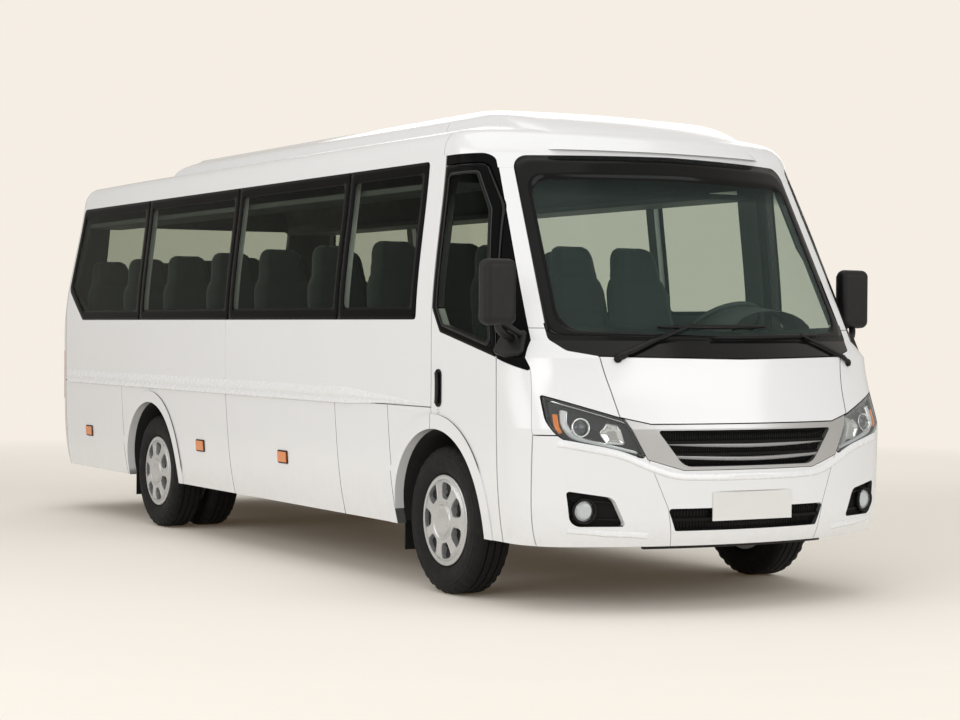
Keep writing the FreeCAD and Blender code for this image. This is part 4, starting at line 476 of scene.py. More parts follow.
def shrunk(corners, margin, round_by=None):
    """A convex outline with every side moved in by margin."""
    total = len(corners)
    area = sum(corners[i - 1][0] * corners[i][1] - corners[i][0] * corners[i - 1][1]
               for i in range(total))
    sign = 1 if area > 0 else -1
    lines = []
    for index in range(total):
        a = Vector(corners[index][:2])
        b = Vector(corners[(index + 1) % total][:2])
        way = (b - a).normalized()
        normal = Vector((-way.y, way.x)) * sign
        lines.append((a + normal * margin, way))
    result = []
    for index in range(total):
        p, d = lines[index - 1]
        q, e = lines[index]
        cross = d.x * e.y - d.y * e.x
        if abs(cross) < 1e-6:
            point = q
        else:
            t = ((q.x - p.x) * e.y - (q.y - p.y) * e.x) / cross
            point = p + d * t
        radius = corners[index][2]
        radius = max(radius - margin, 0.004) if round_by is None else round_by
        result.append((point.x, point.y, radius))
    return result


# ---- the hull to lay pieces on

SKIN_NODES = ["roof", "side_windows", "side_wall_right", "side_wall_left", "skirts",
              "front_door_right", "front_door_left", "door_glass_right", "door_glass_left",
              "windscreen", "front_cap", "cowl", "bonnet_panel", "grille_surround", "headlamps",
              "front_bumper", "front_sails", "front_corners", "rear_window", "boot_lid",
              "tail_lamps", "rear_bumper", "rear_panel"]


def tree_of(names):
    verts = []
    faces = []
    for name in names:
        mesh = NODES[name].data
        start = len(verts)
        verts += [v.co.copy() for v in mesh.vertices]
        faces += [tuple(start + i for i in p.vertices) for p in mesh.polygons]
    return BVHTree.FromPolygons(verts, faces)


HULL = tree_of(SKIN_NODES)
SKIRTS = tree_of(["skirts"])


def seen_along(tree, origin, axis, sign, limit):
    """A finder: the first surface seen from the origin along an axis, with its normal.

    Nothing is found where the surface lies past the limit."""
    way = Vector([sign * (index == axis) for index in range(3)])

    def finder(a, b):
        start = (origin, a, b) if axis == 0 else (a, origin, b)
        place, normal = tree.ray_cast(Vector(start), way, 20)[:2]
        if place is None or (place[axis] - limit) * sign > 0:
            return None, None
        return place, (-normal if normal.dot(way) > 0 else normal)

    return finder


from_front = seen_along(HULL, -8, 1, 1, FRONT + 1.6)
from_rear = seen_along(HULL, 8, 1, -1, REAR - 0.9)
from_tail = seen_along(HULL, 8, 1, -1, REAR - 0.6)
from_right = seen_along(HULL, -4, 0, 1, -0.6)
from_skirt = seen_along(SKIRTS, -4, 0, 1, -0.6)


def nearby(finder, a, b):
    """The hull at (a, b), or at the nearest place where there is one."""
    for reach in (0, 0.004, 0.01, 0.02, 0.04):
        for da, db in ((0, 0), (1, 0), (-1, 0), (0, 1), (0, -1)):
            place, normal = finder(a + da * reach, b + db * reach)
            if place is not None:
                return place, normal
    raise RuntimeError(f"no hull at {a:.3f}, {b:.3f}")


def laid_out(finder, point, lift):
    """A 2D point on the hull, lifted along the hull's normal."""
    place, normal = nearby(finder, point[0], point[1])
    return place + normal * lift


# ---- wheels and tyres

WHEEL_WIDE = 0.215
WHEEL_RIM = 0.232
WHEEL_TALL = HUB - WHEEL_RIM
WINDOW_COUNT = 7
COVER_FACE = [(0.46, 1.0), (0.60, 0.996), (0.80, 0.983), (0.85, 0.972), (0.90, 0.950)]
COVER_CENTRE = [(1.0, 0.46), (1.003, 0.447), (0.992, 0.43), (0.976, 0.41), (0.972, 0.385),
                (0.975, 0.362), (0.990, 0.352), (1.008, 0.345), (1.016, 0.33), (1.016, 0.312),
                (1.008, 0.298), (1.006, 0.28), (1.013, 0.2), (1.024, 0.1), (1.029, 0.0)]
COVER_LIP = [(0.950, 0.90), (0.937, 0.912), (0.928, 0.926), (0.930, 0.945), (0.938, 0.965),
             (0.941, 0.985), (0.937, 1.004), (0.930, 1.016), (0.918, 1.02), (0.909, 1.01),
             (0.89, 1.0)]
BARREL = [(0.89, 1.0), (0.883, 0.9986), (0.5, 0.998), (0.117, 0.9986), (0.112, 1.012),
          (0.1, 1.02), (0.08, 1.02), (0.068, 1.01), (0.066, 0.93), (0.1, 0.9), (0.4, 0.88),
          (0.8, 0.87), (0.87, 0.86), (0.90, 0.885), (0.912, 0.905)]
DRUM = [(0.45, 0.36), (0.45, 0.62), (0.47, 0.66), (0.55, 0.66), (0.555, 0.69), (0.58, 0.69),
        (0.585, 0.66), (0.74, 0.66), (0.78, 0.63), (0.80, 0.6), (0.835, 0.80), (0.852, 0.85),
        (0.872, 0.85), (0.846, 0.70), (0.83, 0.56), (0.83, 0.42), (0.86, 0.39), (0.86, 0.0)]
TYRE_SIDE = [(0.12, 0.0), (0.118, 0.05), (0.085, 0.09), (0.055, 0.16), (0.028, 0.27),
             (0.010, 0.38), (0.002, 0.5), (0.004, 0.58), (0.012, 0.66), (0.008, 0.675),
             (0.009, 0.69), (0.021, 0.705), (0.03, 0.76), (0.047, 0.83), (0.066, 0.885),
             (0.085, 0.925), (0.112, 0.962), (0.15, 0.985), (0.2, 0.997), (0.245, 1.0)]
TYRE_GROOVES = [0.31, 0.5]


def table_at(table, x):
    for (a, ya), (b, yb) in zip(table[:-1], table[1:]):
        if x <= b:
            return ya + (yb - ya) * (x - a) / (b - a)
    return table[-1][1]


def signed_power(value, power):
    return math.copysign(abs(value) ** power, value)


def cover_sectors(start, turn):
    """Broad spokes: a ring of sectors, each with one rounded bevelled opening.

    One spoke points along the vehicle."""
    verts = []
    faces = []
    half = math.pi / WINDOW_COUNT
    low, high = 0.46, 0.90
    rows = [(0.0, 0.0), (0.4, 0.0), (0.72, 0.0), (0.86, 0.0), (0.90, -0.0016), (0.945, -0.0016),
            (0.975, 0.0), (1.0, 0.003), (1.02, 0.010), (1.035, 0.022), (1.045, 0.034)]
    size = 48
    for sector in range(WINDOW_COUNT):
        middle = turn + 2 * math.pi * sector / WINDOW_COUNT
        loops = []
        for share, deep in rows:
            loop = []
            for step in range(size):
                angle = 2 * math.pi * step / size
                c, s = math.cos(angle), math.sin(angle)
                reach = max(abs(c), abs(s))
                across = c / reach
                up = s / reach
                hole_across = 0.60 * signed_power(c, 0.5)
                hole_up = 0.80 * signed_power(s, 0.5) + 0.02
                hole_across *= 1 + 0.10 * hole_up
                across += (hole_across - across) * share
                up += (hole_up - up) * share
                r = low + (high - low) * (up + 1) / 2
                x = start + WHEEL_WIDE * table_at(COVER_FACE, min(max(r, low), high)) - deep
                theta = middle + half * across
                loop.append((x, r * WHEEL_RIM * math.cos(theta), r * WHEEL_RIM * math.sin(theta)))
            loops.append(loop)
        add_mesh(verts, faces, *strip_mesh(loops))
    return verts, faces


def wheel_profile(start, table):
    return [(start + WHEEL_WIDE * x, WHEEL_RIM * r) for x, r in table]


def side_turned(verts, side, place):
    """From a wheel's own frame, outwards along +X, to its place on one side."""
    x0, y0, z0 = place
    return [(x0 + side * x, y0 + side * y, z0 + z) for x, y, z in verts]


def build_rim(name, side, place, start, inner_start, body, nodes):
    turn = math.pi / WINDOW_COUNT
    cover_verts, cover_faces = cover_sectors(start, turn)
    add_mesh(cover_verts, cover_faces, *revolve(wheel_profile(start, COVER_CENTRE), 96))
    add_mesh(cover_verts, cover_faces, *revolve(wheel_profile(start, COVER_LIP), 112))
    cover = make(f"{name}_cover", side_turned(cover_verts, side, place), cover_faces, COVER, body)
    sharpen(cover, 50)
    barrel_verts, barrel_faces = revolve(wheel_profile(start, BARREL), 96)
    if inner_start is not None:
        mirrored = [(1 - x, r) for x, r in BARREL]
        add_mesh(barrel_verts, barrel_faces, *revolve(wheel_profile(inner_start, mirrored), 96))
        disc = [(0.86, 0.87), (0.80, 0.7), (0.80, 0.38), (1.6, 0.38), (1.9, 0.42)]
        add_mesh(barrel_verts, barrel_faces, *revolve(wheel_profile(inner_start, disc), 72))
    barrel = make(f"{name}_barrel", side_turned(barrel_verts, side, place), barrel_faces,
                  WHEEL_PAINT, body)
    sharpen(barrel, 45)
    drum_verts, drum_faces = revolve(wheel_profile(start, DRUM), 72)
    for step in range(10):
        angle = 2 * math.pi * (step + 0.5) / 10
        centre = (0, 0.125 * math.cos(angle), 0.125 * math.sin(angle))
        nut = [(start + WHEEL_WIDE * 0.83, 0.014), (start + WHEEL_WIDE * 0.875, 0.014),
               (start + WHEEL_WIDE * 0.885, 0.010), (start + WHEEL_WIDE * 0.9, 0.006),
               (start + WHEEL_WIDE * 0.9, 0.0)]
        nut_verts, nut_faces = revolve(nut, 6)
        nut_verts = [(x, y + centre[1], z + centre[2]) for x, y, z in nut_verts]
        add_mesh(drum_verts, drum_faces, nut_verts, nut_faces)
    # The drum is near black: dark metal with painted shade inside the wheel
    drum = make(f"{name}_drum", side_turned(drum_verts, side, place), drum_faces, DRUM_METAL_AND_PAINTED_SHADE, body)
    sharpen(drum, 40)
    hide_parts(nodes)


def tyre_profile(start):
    tread = []
    for middle in TYRE_GROOVES:
        tread += [(middle - 0.019, 1.0), (middle - 0.012, 0.935), (middle + 0.012, 0.935),
                  (middle + 0.019, 1.0)]
    whole = TYRE_SIDE + tread + [(1 - x, up) for x, up in reversed(TYRE_SIDE + tread[:4])]
    whole += [(0.88, -0.04), (0.5, -0.05), (0.12, -0.04)]
    return [(start + WHEEL_WIDE * x, WHEEL_RIM + WHEEL_TALL * up) for x, up in whole]


def build_tyre(name, side, place, starts, body, node):
    """Rubber ring with tread grooves and short notches round both shoulders."""
    verts = []
    faces = []
    for start in starts:
        outline = tyre_profile(start)
        ring_verts, ring_faces = revolve(outline, 144)
        size = len(outline)
        notched = []
        for index, (x, y, z) in enumerate(ring_verts):
            r = math.hypot(y, z)
            across = (x - start) / WHEEL_WIDE
            up = (r - WHEEL_RIM) / WHEEL_TALL
            edge = min(across, 1 - across)
            step = index // size
            if step % 4 in (0, 1) and 0.06 < edge < 0.16 and up > 0.85:
                shrink = (r - 0.0045) / r
                y *= shrink
                z *= shrink
                x += math.copysign(0.003, 0.5 - across)
            notched.append((x, y, z))
        add_mesh(verts, faces, notched, ring_faces)
    tyre = make(name, side_turned(verts, side, place), faces, RUBBER, body)
    sharpen(tyre, 38)
    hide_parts(node)


# How far apart the twin rear wheels of a side stand
TWIN_STEP = 0.262


def build_wheels():
    front_hub = 0.960 - WHEEL_WIDE / 2
    for side, name in ((-1, "right"), (1, "left")):
        for end, bodies, tyres, axle, hub, start, inner, starts in (
                ("front", "wheel", "tyre", FRONT_AXLE, front_hub, 0, None, [0]),
                ("rear", "wheels", "tyres", REAR_AXLE, front_hub - TWIN_STEP, TWIN_STEP, 0,
                 [0, TWIN_STEP])):
            place = (side * hub, axle, HUB)
            body = f"{end}_{bodies}_{name}"
            wheel = f"{end}_wheel_{name}"
            build_rim(wheel, side, place, start, inner, body, wheel)
            build_tyre(f"{end}_tread_{name}", side, place, starts, body, f"{end}_{tyres}_{name}")


# ---- window borders

BORDER = 0.042
PANE_BORDER = 0.068


def ring(corners, sides, arc=7):
    """Closed outline: arc + 1 points round each corner (a, b, radius), sides between."""
    total = len(corners)
    arcs = []
    for index, (a, b, radius) in enumerate(corners):
        here = Vector((a, b))
        before = Vector(corners[index - 1][:2]) - here
        after = Vector(corners[(index + 1) % total][:2]) - here
        before_way = before.normalized()
        after_way = after.normalized()
        half = max(before_way.angle(after_way) / 2, 0.02)
        reach = min(max(radius, 0.0004) / math.tan(half), before.length * 0.48,
                    after.length * 0.48)
        size = reach * math.tan(half)
        centre = here + (before_way + after_way).normalized() * (size / math.sin(half))
        first = here + before_way * reach - centre
        last = here + after_way * reach - centre
        turn = math.atan2(first.x * last.y - first.y * last.x, first.dot(last))
        points = []
        for step in range(arc + 1):
            angle = turn * step / arc
            c, s = math.cos(angle), math.sin(angle)
            points.append(centre + Vector((first.x * c - first.y * s, first.x * s + first.y * c)))
        arcs.append(points)
    result = []
    for index in range(total):
        result += arcs[index]
        start = arcs[index][-1]
        end = arcs[(index + 1) % total][0]
        for step in range(1, sides[index]):
            result.append(start.lerp(end, step / sides[index]))
    return result


def side_counts(corners, step=0.05):
    total = len(corners)
    return [max(1, round((Vector(corners[(i + 1) % total][:2])
                          - Vector(corners[i][:2])).length / step)) for i in range(total)]


def border(finder, outer, inner, lift=0.0007, thick=0.0004, step=0.05, arc=7):
    """A thin closed band between two outlines of like corners, laid on the hull."""
    counts = side_counts(outer, step)
    a = ring(outer, counts, arc)
    b = ring(inner, counts, arc)
    loops = [[laid_out(finder, p, lift - thick) for p in a]]
    for share in (0.0, 0.34, 0.67, 1.0):
        loops.append([laid_out(finder, p.lerp(q, share), lift) for p, q in zip(a, b)])
    loops.append([laid_out(finder, p, lift - thick) for p in b])
    verts, faces = strip_mesh(loops)
    return verts, faces


BAND_START, BAND_LOW, BAND_TOP = FRONT + 1.461, 1.425, 2.258
PANE_JOINTS = [BAND_START + 0.939 + 1.590 * step for step in range(3)]


def pane_outlines():
    """The four panes of the right side, between the joints of the band."""
    gap = 0.003
    starts = [BAND_START] + [joint + gap for joint in PANE_JOINTS]
    panes = [[(start, BAND_LOW, 0.02), (joint - gap, BAND_LOW, 0.02), (joint - gap, BAND_TOP, 0.02),
              (start, BAND_TOP, 0.02)] for start, joint in zip(starts, PANE_JOINTS)]
    last = starts[-1]
    panes.append([(last, BAND_LOW, 0.02), (REAR - 0.683, BAND_LOW, 0.055),
                  (REAR - 0.345, 1.649, 0.055), (REAR - 0.5, BAND_TOP, 0.055),
                  (last, BAND_TOP, 0.02)])
    return panes


def build_side_borders():
    verts = []
    faces = []
    for pane in pane_outlines():
        outer = shrunk(pane, 0.0015)
        inner = shrunk(pane, PANE_BORDER, 0.03)
        add_mesh(verts, faces, *border(from_right, outer, inner))
    twin("side_window_border", verts, faces, EDGE_BLACK)
    verts = []
    faces = []
    for y in PANE_JOINTS:
        add_mesh(verts, faces, *ribbon(from_right, [(y, 1.428), (y, 1.84), (y, 2.254)], 0.0024,
                                       0.0017, -0.001, 0.0004, 12))
    twin("side_window_joint", verts, faces, JOINT_AND_SEAL_HIGHLIGHT)


def door_pane():
    back = FRONT + 1.280 - 0.002
    edge = 0.002
    return [
        (back, 1.478, 0.055),
        (back, 2.222 - edge, 0.014),
        (FRONT + 0.985, 2.222 - edge, 0.055),
        (FRONT + 0.838 + edge, 2.000, 0.22),
        (FRONT + 0.744 + edge, 1.722, 0.22),
        (FRONT + 0.616 + edge, 1.240, 0.0),
        (back - 0.085, 1.361, 0.027),
    ]


def build_door_borders():
    outline = door_pane()
    twin("door_window_border", *border(from_right, shrunk(outline, 0.0015),
         shrunk(outline, BORDER, 0.03)), EDGE_BLACK, ("door_right", "door_left"))
    twin("door_window_seal", *border(from_right, shrunk(outline, BORDER - 0.004, 0.03),
         shrunk(outline, BORDER + 0.007, 0.024), 0.0032, 0.0028), SATIN_BLACK, ("door_right",
         "door_left"))
    # A thin grey line along the seal's outer edge: a painted highlight of the seal
    twin("door_window_seal_highlight", *border(from_right, shrunk(outline, BORDER - 0.0075, 0.035),
         shrunk(outline, BORDER - 0.0045, 0.032), 0.0018, 0.0014), JOINT_AND_SEAL_HIGHLIGHT, ("door_right",
         "door_left"))


def build_screen_border():
    half = [(0, 2.280, 0), (-0.848, 2.266, 0.082), (-0.924, 1.352, 0.014), (0, 1.325, 0)]
    edge = [(x, z, max(r, 0.03)) for x, z, r in shrunk(both_sides(half), 0.002)]
    clear = [(0, 2.150, 0.03), (-0.797, 2.138, 0.10), (-0.858, 1.372, 0.10), (0, 1.347, 0.03)]
    make("windscreen_border", *border(from_front, edge, both_sides(clear)), FRIT)


def build_rear_border():
    half, low, top = 0.800, 1.470, 2.190
    outline = [(-half, low, 0.055), (half, low, 0.055), (half, top, 0.055), (-half, top, 0.055)]
    make("rear_window_border", *border(from_rear, shrunk(outline, 0.002),
         shrunk(outline, BORDER, 0.03)), FRIT)


# ---- details laid on the body

def ribbon(finder, points, half, top, bottom, crown=0.0, steps=None):
    """A closed raised strip along a 2D path: half may be a number or a function of share."""
    path = curve(points, steps) if steps else [Vector(p) for p in points]
    lefts = []
    for index, point in enumerate(path):
        before = path[max(index - 1, 0)]
        after = path[min(index + 1, len(path) - 1)]
        way = (after - before).normalized()
        lefts.append(Vector((-way.y, way.x)))
    loops = []
    for index, (point, left) in enumerate(zip(path, lefts)):
        share = index / (len(path) - 1)
        wide = half(share) if callable(half) else half
        section = [(-1.0, bottom), (-1.0, top - crown), (-0.6, top - crown * 0.3), (0.0, top),
                   (0.6, top - crown * 0.3), (1.0, top - crown), (1.0, bottom)]
        loops.append([laid_out(finder, point + left * (wide * across), lift)
                      for across, lift in section])
    return bar_mesh(loops)


def filled(finder, outline, lift, depth, step=0.03, rings=6, dish=0.0, arc=7):
    """A closed slab between an outline on the hull and the same outline sunk by depth."""
    counts = side_counts(outline, step)
    edge = ring(outline, counts, arc)
    count = len(edge)
    centre = sum(edge, Vector((0, 0))) / count
    loops = [[laid_out(finder, p, lift - depth) for p in edge]]
    for row in range(rings):
        share = row / rings
        sunk = dish * math.sin(math.pi / 2 * min(1.0, share * 1.6))
        loops.append([laid_out(finder, p.lerp(centre, share), lift - sunk) for p in edge])
    verts, faces = strip_mesh(loops)
    fan(verts, faces, rings * count, count, laid_out(finder, centre, lift - dish))
    fan(verts, faces, 0, count, laid_out(finder, centre, lift - depth))
    return verts, faces


def turned(place, axis, profile, count=48):
    """A profile (along the axis, radius) turned about an axis at a place."""
    axis = Vector(axis).normalized()
    side = axis.cross(Vector((0, 0, 1))).normalized()
    up = side.cross(axis)
    verts, faces = revolve(profile, count)
    return [Vector(place) + axis * x + side * y + up * z for x, y, z in verts], faces


LAMP = [(-0.668, 0.945, 0.055), (-1.021, 1.060, 0.007), (-1.021, 0.860, 0.130),
        (-0.576, 0.756, 0.014)]


def build_headlamps():
    """Dark bowl, bezel, projector, reflector, light bar and indicator behind a clear lens."""
    inner = shrunk(LAMP, 0.003)
    twin("headlamp_lens", *filled(from_front, inner, 0.0, 0.0025, 0.02, 8), LENS)
    bowl = twin("headlamp_bowl", *filled(from_front, shrunk(LAMP, 0.004), -0.026, 0.014, 0.02, 8,
                0.004), LAMP_DARK)
    twin("headlamp_wall", *border(from_front, shrunk(LAMP, 0.004), shrunk(LAMP, 0.012), -0.004,
         0.024, 0.02), LAMP_DARK)
    twin("headlamp_strip", *ribbon(from_front, [(-0.655, 0.925), (-0.70, 0.945), (-0.86, 0.997),
         (-0.985, 1.036)], 0.0055, -0.006, -0.022, 0.002, 24), CHROME)
    bar = [(-0.940, 0.990), (-0.950, 0.930), (-0.928, 0.875), (-0.880, 0.846), (-0.760, 0.815),
           (-0.625, 0.782)]
    twin("headlamp_bar", *ribbon(from_front, bar, lambda s: 0.013 - 0.005 * s, -0.006, -0.026,
         0.004, 40), LIGHT_BAR_AND_PAINTED_REFLECTION)
    twin("headlamp_bar_edge", *ribbon(from_front, bar, lambda s: 0.017 - 0.005 * s, -0.011, -0.027,
         0.001, 40), CHROME)
    twin("headlamp_indicator", *ribbon(from_front, [(-0.981, 0.972), (-0.984, 0.915),
         (-0.974, 0.878)], 0.011, -0.006, -0.027, 0.003, 16), AMBER)
    size = 0.047
    place, normal = nearby(from_front, -0.881, 0.914)
    aim = (normal + Vector((0, -1.4, 0))).normalized()
    seat = place - normal * 0.024
    shell = [(-0.012, size), (0.010, size), (0.013, size - 0.002), (0.012, size - 0.006),
             (0.002, size - 0.010), (-0.006, size - 0.012), (-0.008, size - 0.014)]
    twin("headlamp_projector_ring", *turned(seat, aim, shell), CHROME)
    glass_ball = [(-0.008, size - 0.013), (-0.002, size - 0.016), (0.004, size - 0.024),
                  (0.007, size - 0.034), (0.008, 0.0)]
    twin("headlamp_projector", *turned(seat, aim, glass_ball), PROJECTOR)
    mirror = [(-0.762, 0.931, 0.01), (-0.713, 0.921, 0.01), (-0.681, 0.823, 0.01),
              (-0.768, 0.828, 0.01), (-0.802, 0.882, 0.02)]
    twin("headlamp_reflector", *filled(from_front, mirror, -0.008, 0.018, 0.01, 8, 0.014, 5),
         CHROME)
    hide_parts("headlamps")


def across_opening(low, high):
    """A finder for places on the nose inside an opening, from the hull above and below it."""
    def finder(x, z):
        bottom, lower = nearby(from_front, x, low)
        top, upper = nearby(from_front, x, high)
        share = (z - low) / (high - low)
        place = bottom.lerp(top, share)
        place.z = z
        return place, (lower * (1 - share) + upper * share).normalized()

    return finder


in_fog = across_opening(0.415, 0.625)
in_grille = across_opening(0.698, 0.908)
in_intake = across_opening(0.392, 0.524)
over_plate = across_opening(0.392, 0.660)


def build_fog_lamps():
    """Ribbed recess and a round lamp with a bright ring, its reflector painted pale as a painted
    reflection.
    """
    place, normal = in_fog(-0.861, 0.505)
    aim = (normal + Vector((0, -0.9, 0))).normalized()
    seat = place + normal * 0.002
    ring_shape = [(-0.02, 0.062), (0.002, 0.062), (0.005, 0.060), (0.005, 0.056),
                  (-0.002, 0.050), (-0.008, 0.048)]
    twin("fog_ring", *turned(seat, aim, ring_shape), SATIN_BLACK)
    lens = [(-0.006, 0.047), (-0.001, 0.043), (0.003, 0.034), (0.005, 0.018), (0.006, 0.0)]
    # The reflector is painted pale grey instead of chrome: a painted reflection
    twin("fog_reflector", *turned(seat, aim,
         [(-0.010, 0.049)] + [(x - 0.004, r * 0.94) for x, r in lens]), LIGHT_BAR_AND_PAINTED_REFLECTION)
    twin("fog_lens", *turned(seat, aim, [(-0.008, 0.0485), (-0.002, 0.0485)] + lens), LENS)

    for index, z in enumerate((0.462, 0.548)):
        inner = -0.70 if z < 0.5 else -0.745
        twin(f"fog_rib_{index}", *ribbon(in_fog, [(inner, z - 0.004), (-0.80, z),
             (-0.925, z + 0.004)], 0.0045, -0.016, -0.034, 0.002, 12), SATIN_BLACK)


def grille_low(x):
    """Lower edge of the grille opening at x, with its rounded corner."""
    low = 0.716
    reach = abs(x) - 0.36
    if reach <= 0:
        return low
    return low + 0.17 * (reach / 0.155) ** 1.8


def upright_bars(name, finder, half, pitch, ends_of, thick, steps):
    """Thin upright bars side by side; ends_of(x) gives a bar's foot and head, or nothing."""
    verts = []
    faces = []
    x = -half
    while x < half + 0.001:
        ends = ends_of(x)
        if ends:
            add_mesh(verts, faces, *ribbon(finder, [(x, z) for z in ends], thick, -0.020, -0.030,
                                           0.001, steps))
        x += pitch
    make(name, verts, faces, SATIN_BLACK)


def grille_bar(x):
    low = min(grille_low(x) + 0.006, 0.88)
    return (low, 0.889) if low < 0.87 else None


def intake_bar(x):
    return 0.408, (0.449 if abs(x) < 0.25 else 0.508)


def build_grille():
    """Thin upright bars behind two bowed slats, and more in the intake."""
    upright_bars("grille_bars", in_grille, 0.504, 0.0126, grille_bar, 0.0022, 4)
    for index, (half, z) in enumerate(((0.462, 0.752), (0.500, 0.818))):
        points = both_sides([(-half, z + 0.017), (-half * 0.5, z + 0.005), (0, z)])
        make(f"grille_slat_{index}", *ribbon(in_grille, points, 0.0105, -0.003, -0.014, 0.006, 40),
             SLAT)
    upright_bars("intake_bars", in_intake, 0.43, 0.0172, intake_bar, 0.002, 3)


def build_plate():
    """Raised edge of the pocket above the blank plate, open over the intake."""
    half, foot, top = 0.264, 0.534, 0.613
    path = both_sides([(-half, foot), (-half, top - 0.012), (-half + 0.012, top), (0, top)])
    make("plate_rim", *ribbon(over_plate, path, 0.006, 0.0035, -0.004, 0.0025), WHITE_SIMPLE)


def crease(points, above, below, lift, steps, ends):
    """A soft fold in the nose: a slope above its line and a short step below it."""
    path = curve(points, steps)
    section = ((above, -0.002), (above, 0.0003), (above * 0.5, lift * 0.42), (0.002, lift),
               (-0.002, lift), (-below, 0.0003), (-below, -0.002))
    loops = []
    for index, point in enumerate(path):
        way = (path[min(index + 1, steps)] - path[max(index - 1, 0)]).normalized()
        up = Vector((-way.y, way.x)) if way.x > 0 else Vector((way.y, -way.x))
        share = index / steps
        size = min(1.0, 0.06 + share / ends[0], 0.06 + (1 - share) / ends[1])
        loops.append([laid_out(from_front, point + up * across,
                               height * (size if height > 0 else 1))
                      for across, height in section])
    return bar_mesh(loops)


def build_nose_lines():
    """Folds under the lamps and the fog lamps, and the dark lip below the bumper."""
    ledge = [(-0.985, 0.824), (-0.900, 0.809), (-0.710, 0.768), (-0.561, 0.706), (-0.440, 0.668),
             (-0.300, 0.658), (0.0, 0.656)]
    make("nose_fold", *crease(both_sides(ledge), 0.028, 0.010, 0.0060, 120, (0.06, 0.06)),
         WHITE_SIMPLE)
    low = [(-0.935, 0.405), (-0.850, 0.399), (-0.750, 0.389), (-0.640, 0.384), (-0.560, 0.374)]
    twin("fog_fold", *crease(low, 0.022, 0.008, 0.0060, 36, (0.25, 0.3)), WHITE_SIMPLE)
    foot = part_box("front_bumper")[0].z
    loops = []
    for step in range(33):
        x = -0.54 + 1.08 * step / 32
        y = nearby(from_front, x, foot + 0.04)[0].y + 0.070
        loops.append([Vector((x, y + a, foot + b)) for a, b in
                      ((0.0, 0.012), (-0.003, -0.013), (0.002, -0.019), (0.020, -0.017),
                       (0.030, 0.012))])
    make("front_lip", *bar_mesh(loops), BLACK)


def build_handles():
    """Recessed cup, grip and lock of each front door."""
    y = FRONT + 1.204
    cup = [(y - 0.034, 0.975, 0.03), (y + 0.034, 0.975, 0.03), (y + 0.034, 1.170, 0.03),
           (y - 0.034, 1.170, 0.03)]
    pair = ("door_right", "door_left")
    twin("door_handle_cup", *filled(from_right, cup, 0.0012, 0.0008, 0.02, 6), SATIN_BLACK, pair)
    twin("door_handle_rim", *border(from_right, cup, shrunk(cup, 0.006), 0.0042, 0.0038, 0.02),
         BLACK, pair)
    grip = [(y + 0.004, 0.993), (y - 0.001, 1.03), (y - 0.002, 1.075), (y - 0.001, 1.12),
            (y + 0.004, 1.153)]
    twin("door_handle", *ribbon(from_right, grip, lambda s: 0.0115 + 0.003 * math.sin(math.pi * s),
         0.021, 0.004, 0.006, 24), BLACK, pair)
    place, normal = nearby(from_right, y - 0.001, 0.952)
    lock = [(0.0, 0.011), (0.003, 0.011), (0.0042, 0.0095), (0.0038, 0.004), (0.001, 0.0035),
            (0.001, 0.0)]
    twin("door_lock", *turned(place, normal, lock, 32), CHROME, pair)


def build_markers():
    """Dark rims of the side markers."""
    rims = []
    rim_faces = []
    for share in (0.4229, 0.5972, 0.8881):
        y = FRONT + 7.470 * share
        outline = [(y - 0.068, 0.568, 0.008), (y + 0.068, 0.568, 0.008),
                   (y + 0.068, 0.646, 0.008), (y - 0.068, 0.646, 0.008)]
        add_mesh(rims, rim_faces, *border(from_skirt, outline, shrunk(outline, 0.008, 0.004),
                                          0.006, 0.0058, 0.03))
    twin("marker_rim", rims, rim_faces, SATIN_BLACK)


def build_tail_lamps():
    """Sections of the tail lamps, parted by thin dark lines."""
    low, top = 0.826, 1.195
    reach = 0.110
    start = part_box("tail_lamps")[0].y
    if start > 3.47:
        side = [(3.462, low + 0.006, 0.02), (start - 0.001, low + 0.002, 0.003),
                (start - 0.001, top - 0.002, 0.003), (3.462, top - 0.006, 0.02)]
        twin("tail_lamp_side", *filled(from_right, side, 0.0012, 0.003, 0.02, 5, 0.0), RED)
    verts, faces = [], []
    for z in (low + reach, top - reach):
        add_mesh(verts, faces, *ribbon(from_tail, [(-0.985, z), (-1.04, z), (-1.075, z)],
                                       0.0035, 0.0012, -0.004, 0.0003, 10))
    twin("tail_lamp_lines", verts, faces, SATIN_BLACK)
    clear = [(-0.975, low + 0.012, 0.012), (-1.062, low + 0.012, 0.012),
             (-1.062, low + reach - 0.010, 0.012), (-0.975, low + reach - 0.010, 0.012)]
    twin("tail_lamp_clear", *filled(from_tail, clear, 0.0012, 0.003, 0.02, 5, 0.0005), LIGHT_BAR_AND_PAINTED_REFLECTION)
    amber = [(a, b + top - low - reach, r) for a, b, r in clear]
    twin("tail_lamp_amber", *filled(from_tail, amber, 0.0012, 0.003, 0.02, 5, 0.0005), AMBER)


MOULDING = [(1.050, -0.002), (1.050, 0.0006), (1.026, 0.0075), (1.010, 0.0115), (1.006, 0.0115),
            (0.993, 0.0012), (0.989, 0.0014), (0.966, 0.0160), (0.961, 0.0162), (0.958, 0.0148),
            (0.956, 0.0004), (0.956, -0.002)]


def side_between(y, z, low=0.935, high=1.085):
    """The right side at (y, z), from sound places of the skirt and the wall near it."""
    ends = []
    for height in (low, high):
        found = [nearby(from_right, y + shift, height) for shift in (-0.014, 0.0, 0.014)]
        ends.append(min(found, key=lambda item: item[0].x)[0])
    place = ends[0].lerp(ends[1], (z - low) / (high - low))
    return Vector((place.x, y, z)), Vector((-1, 0, 0))


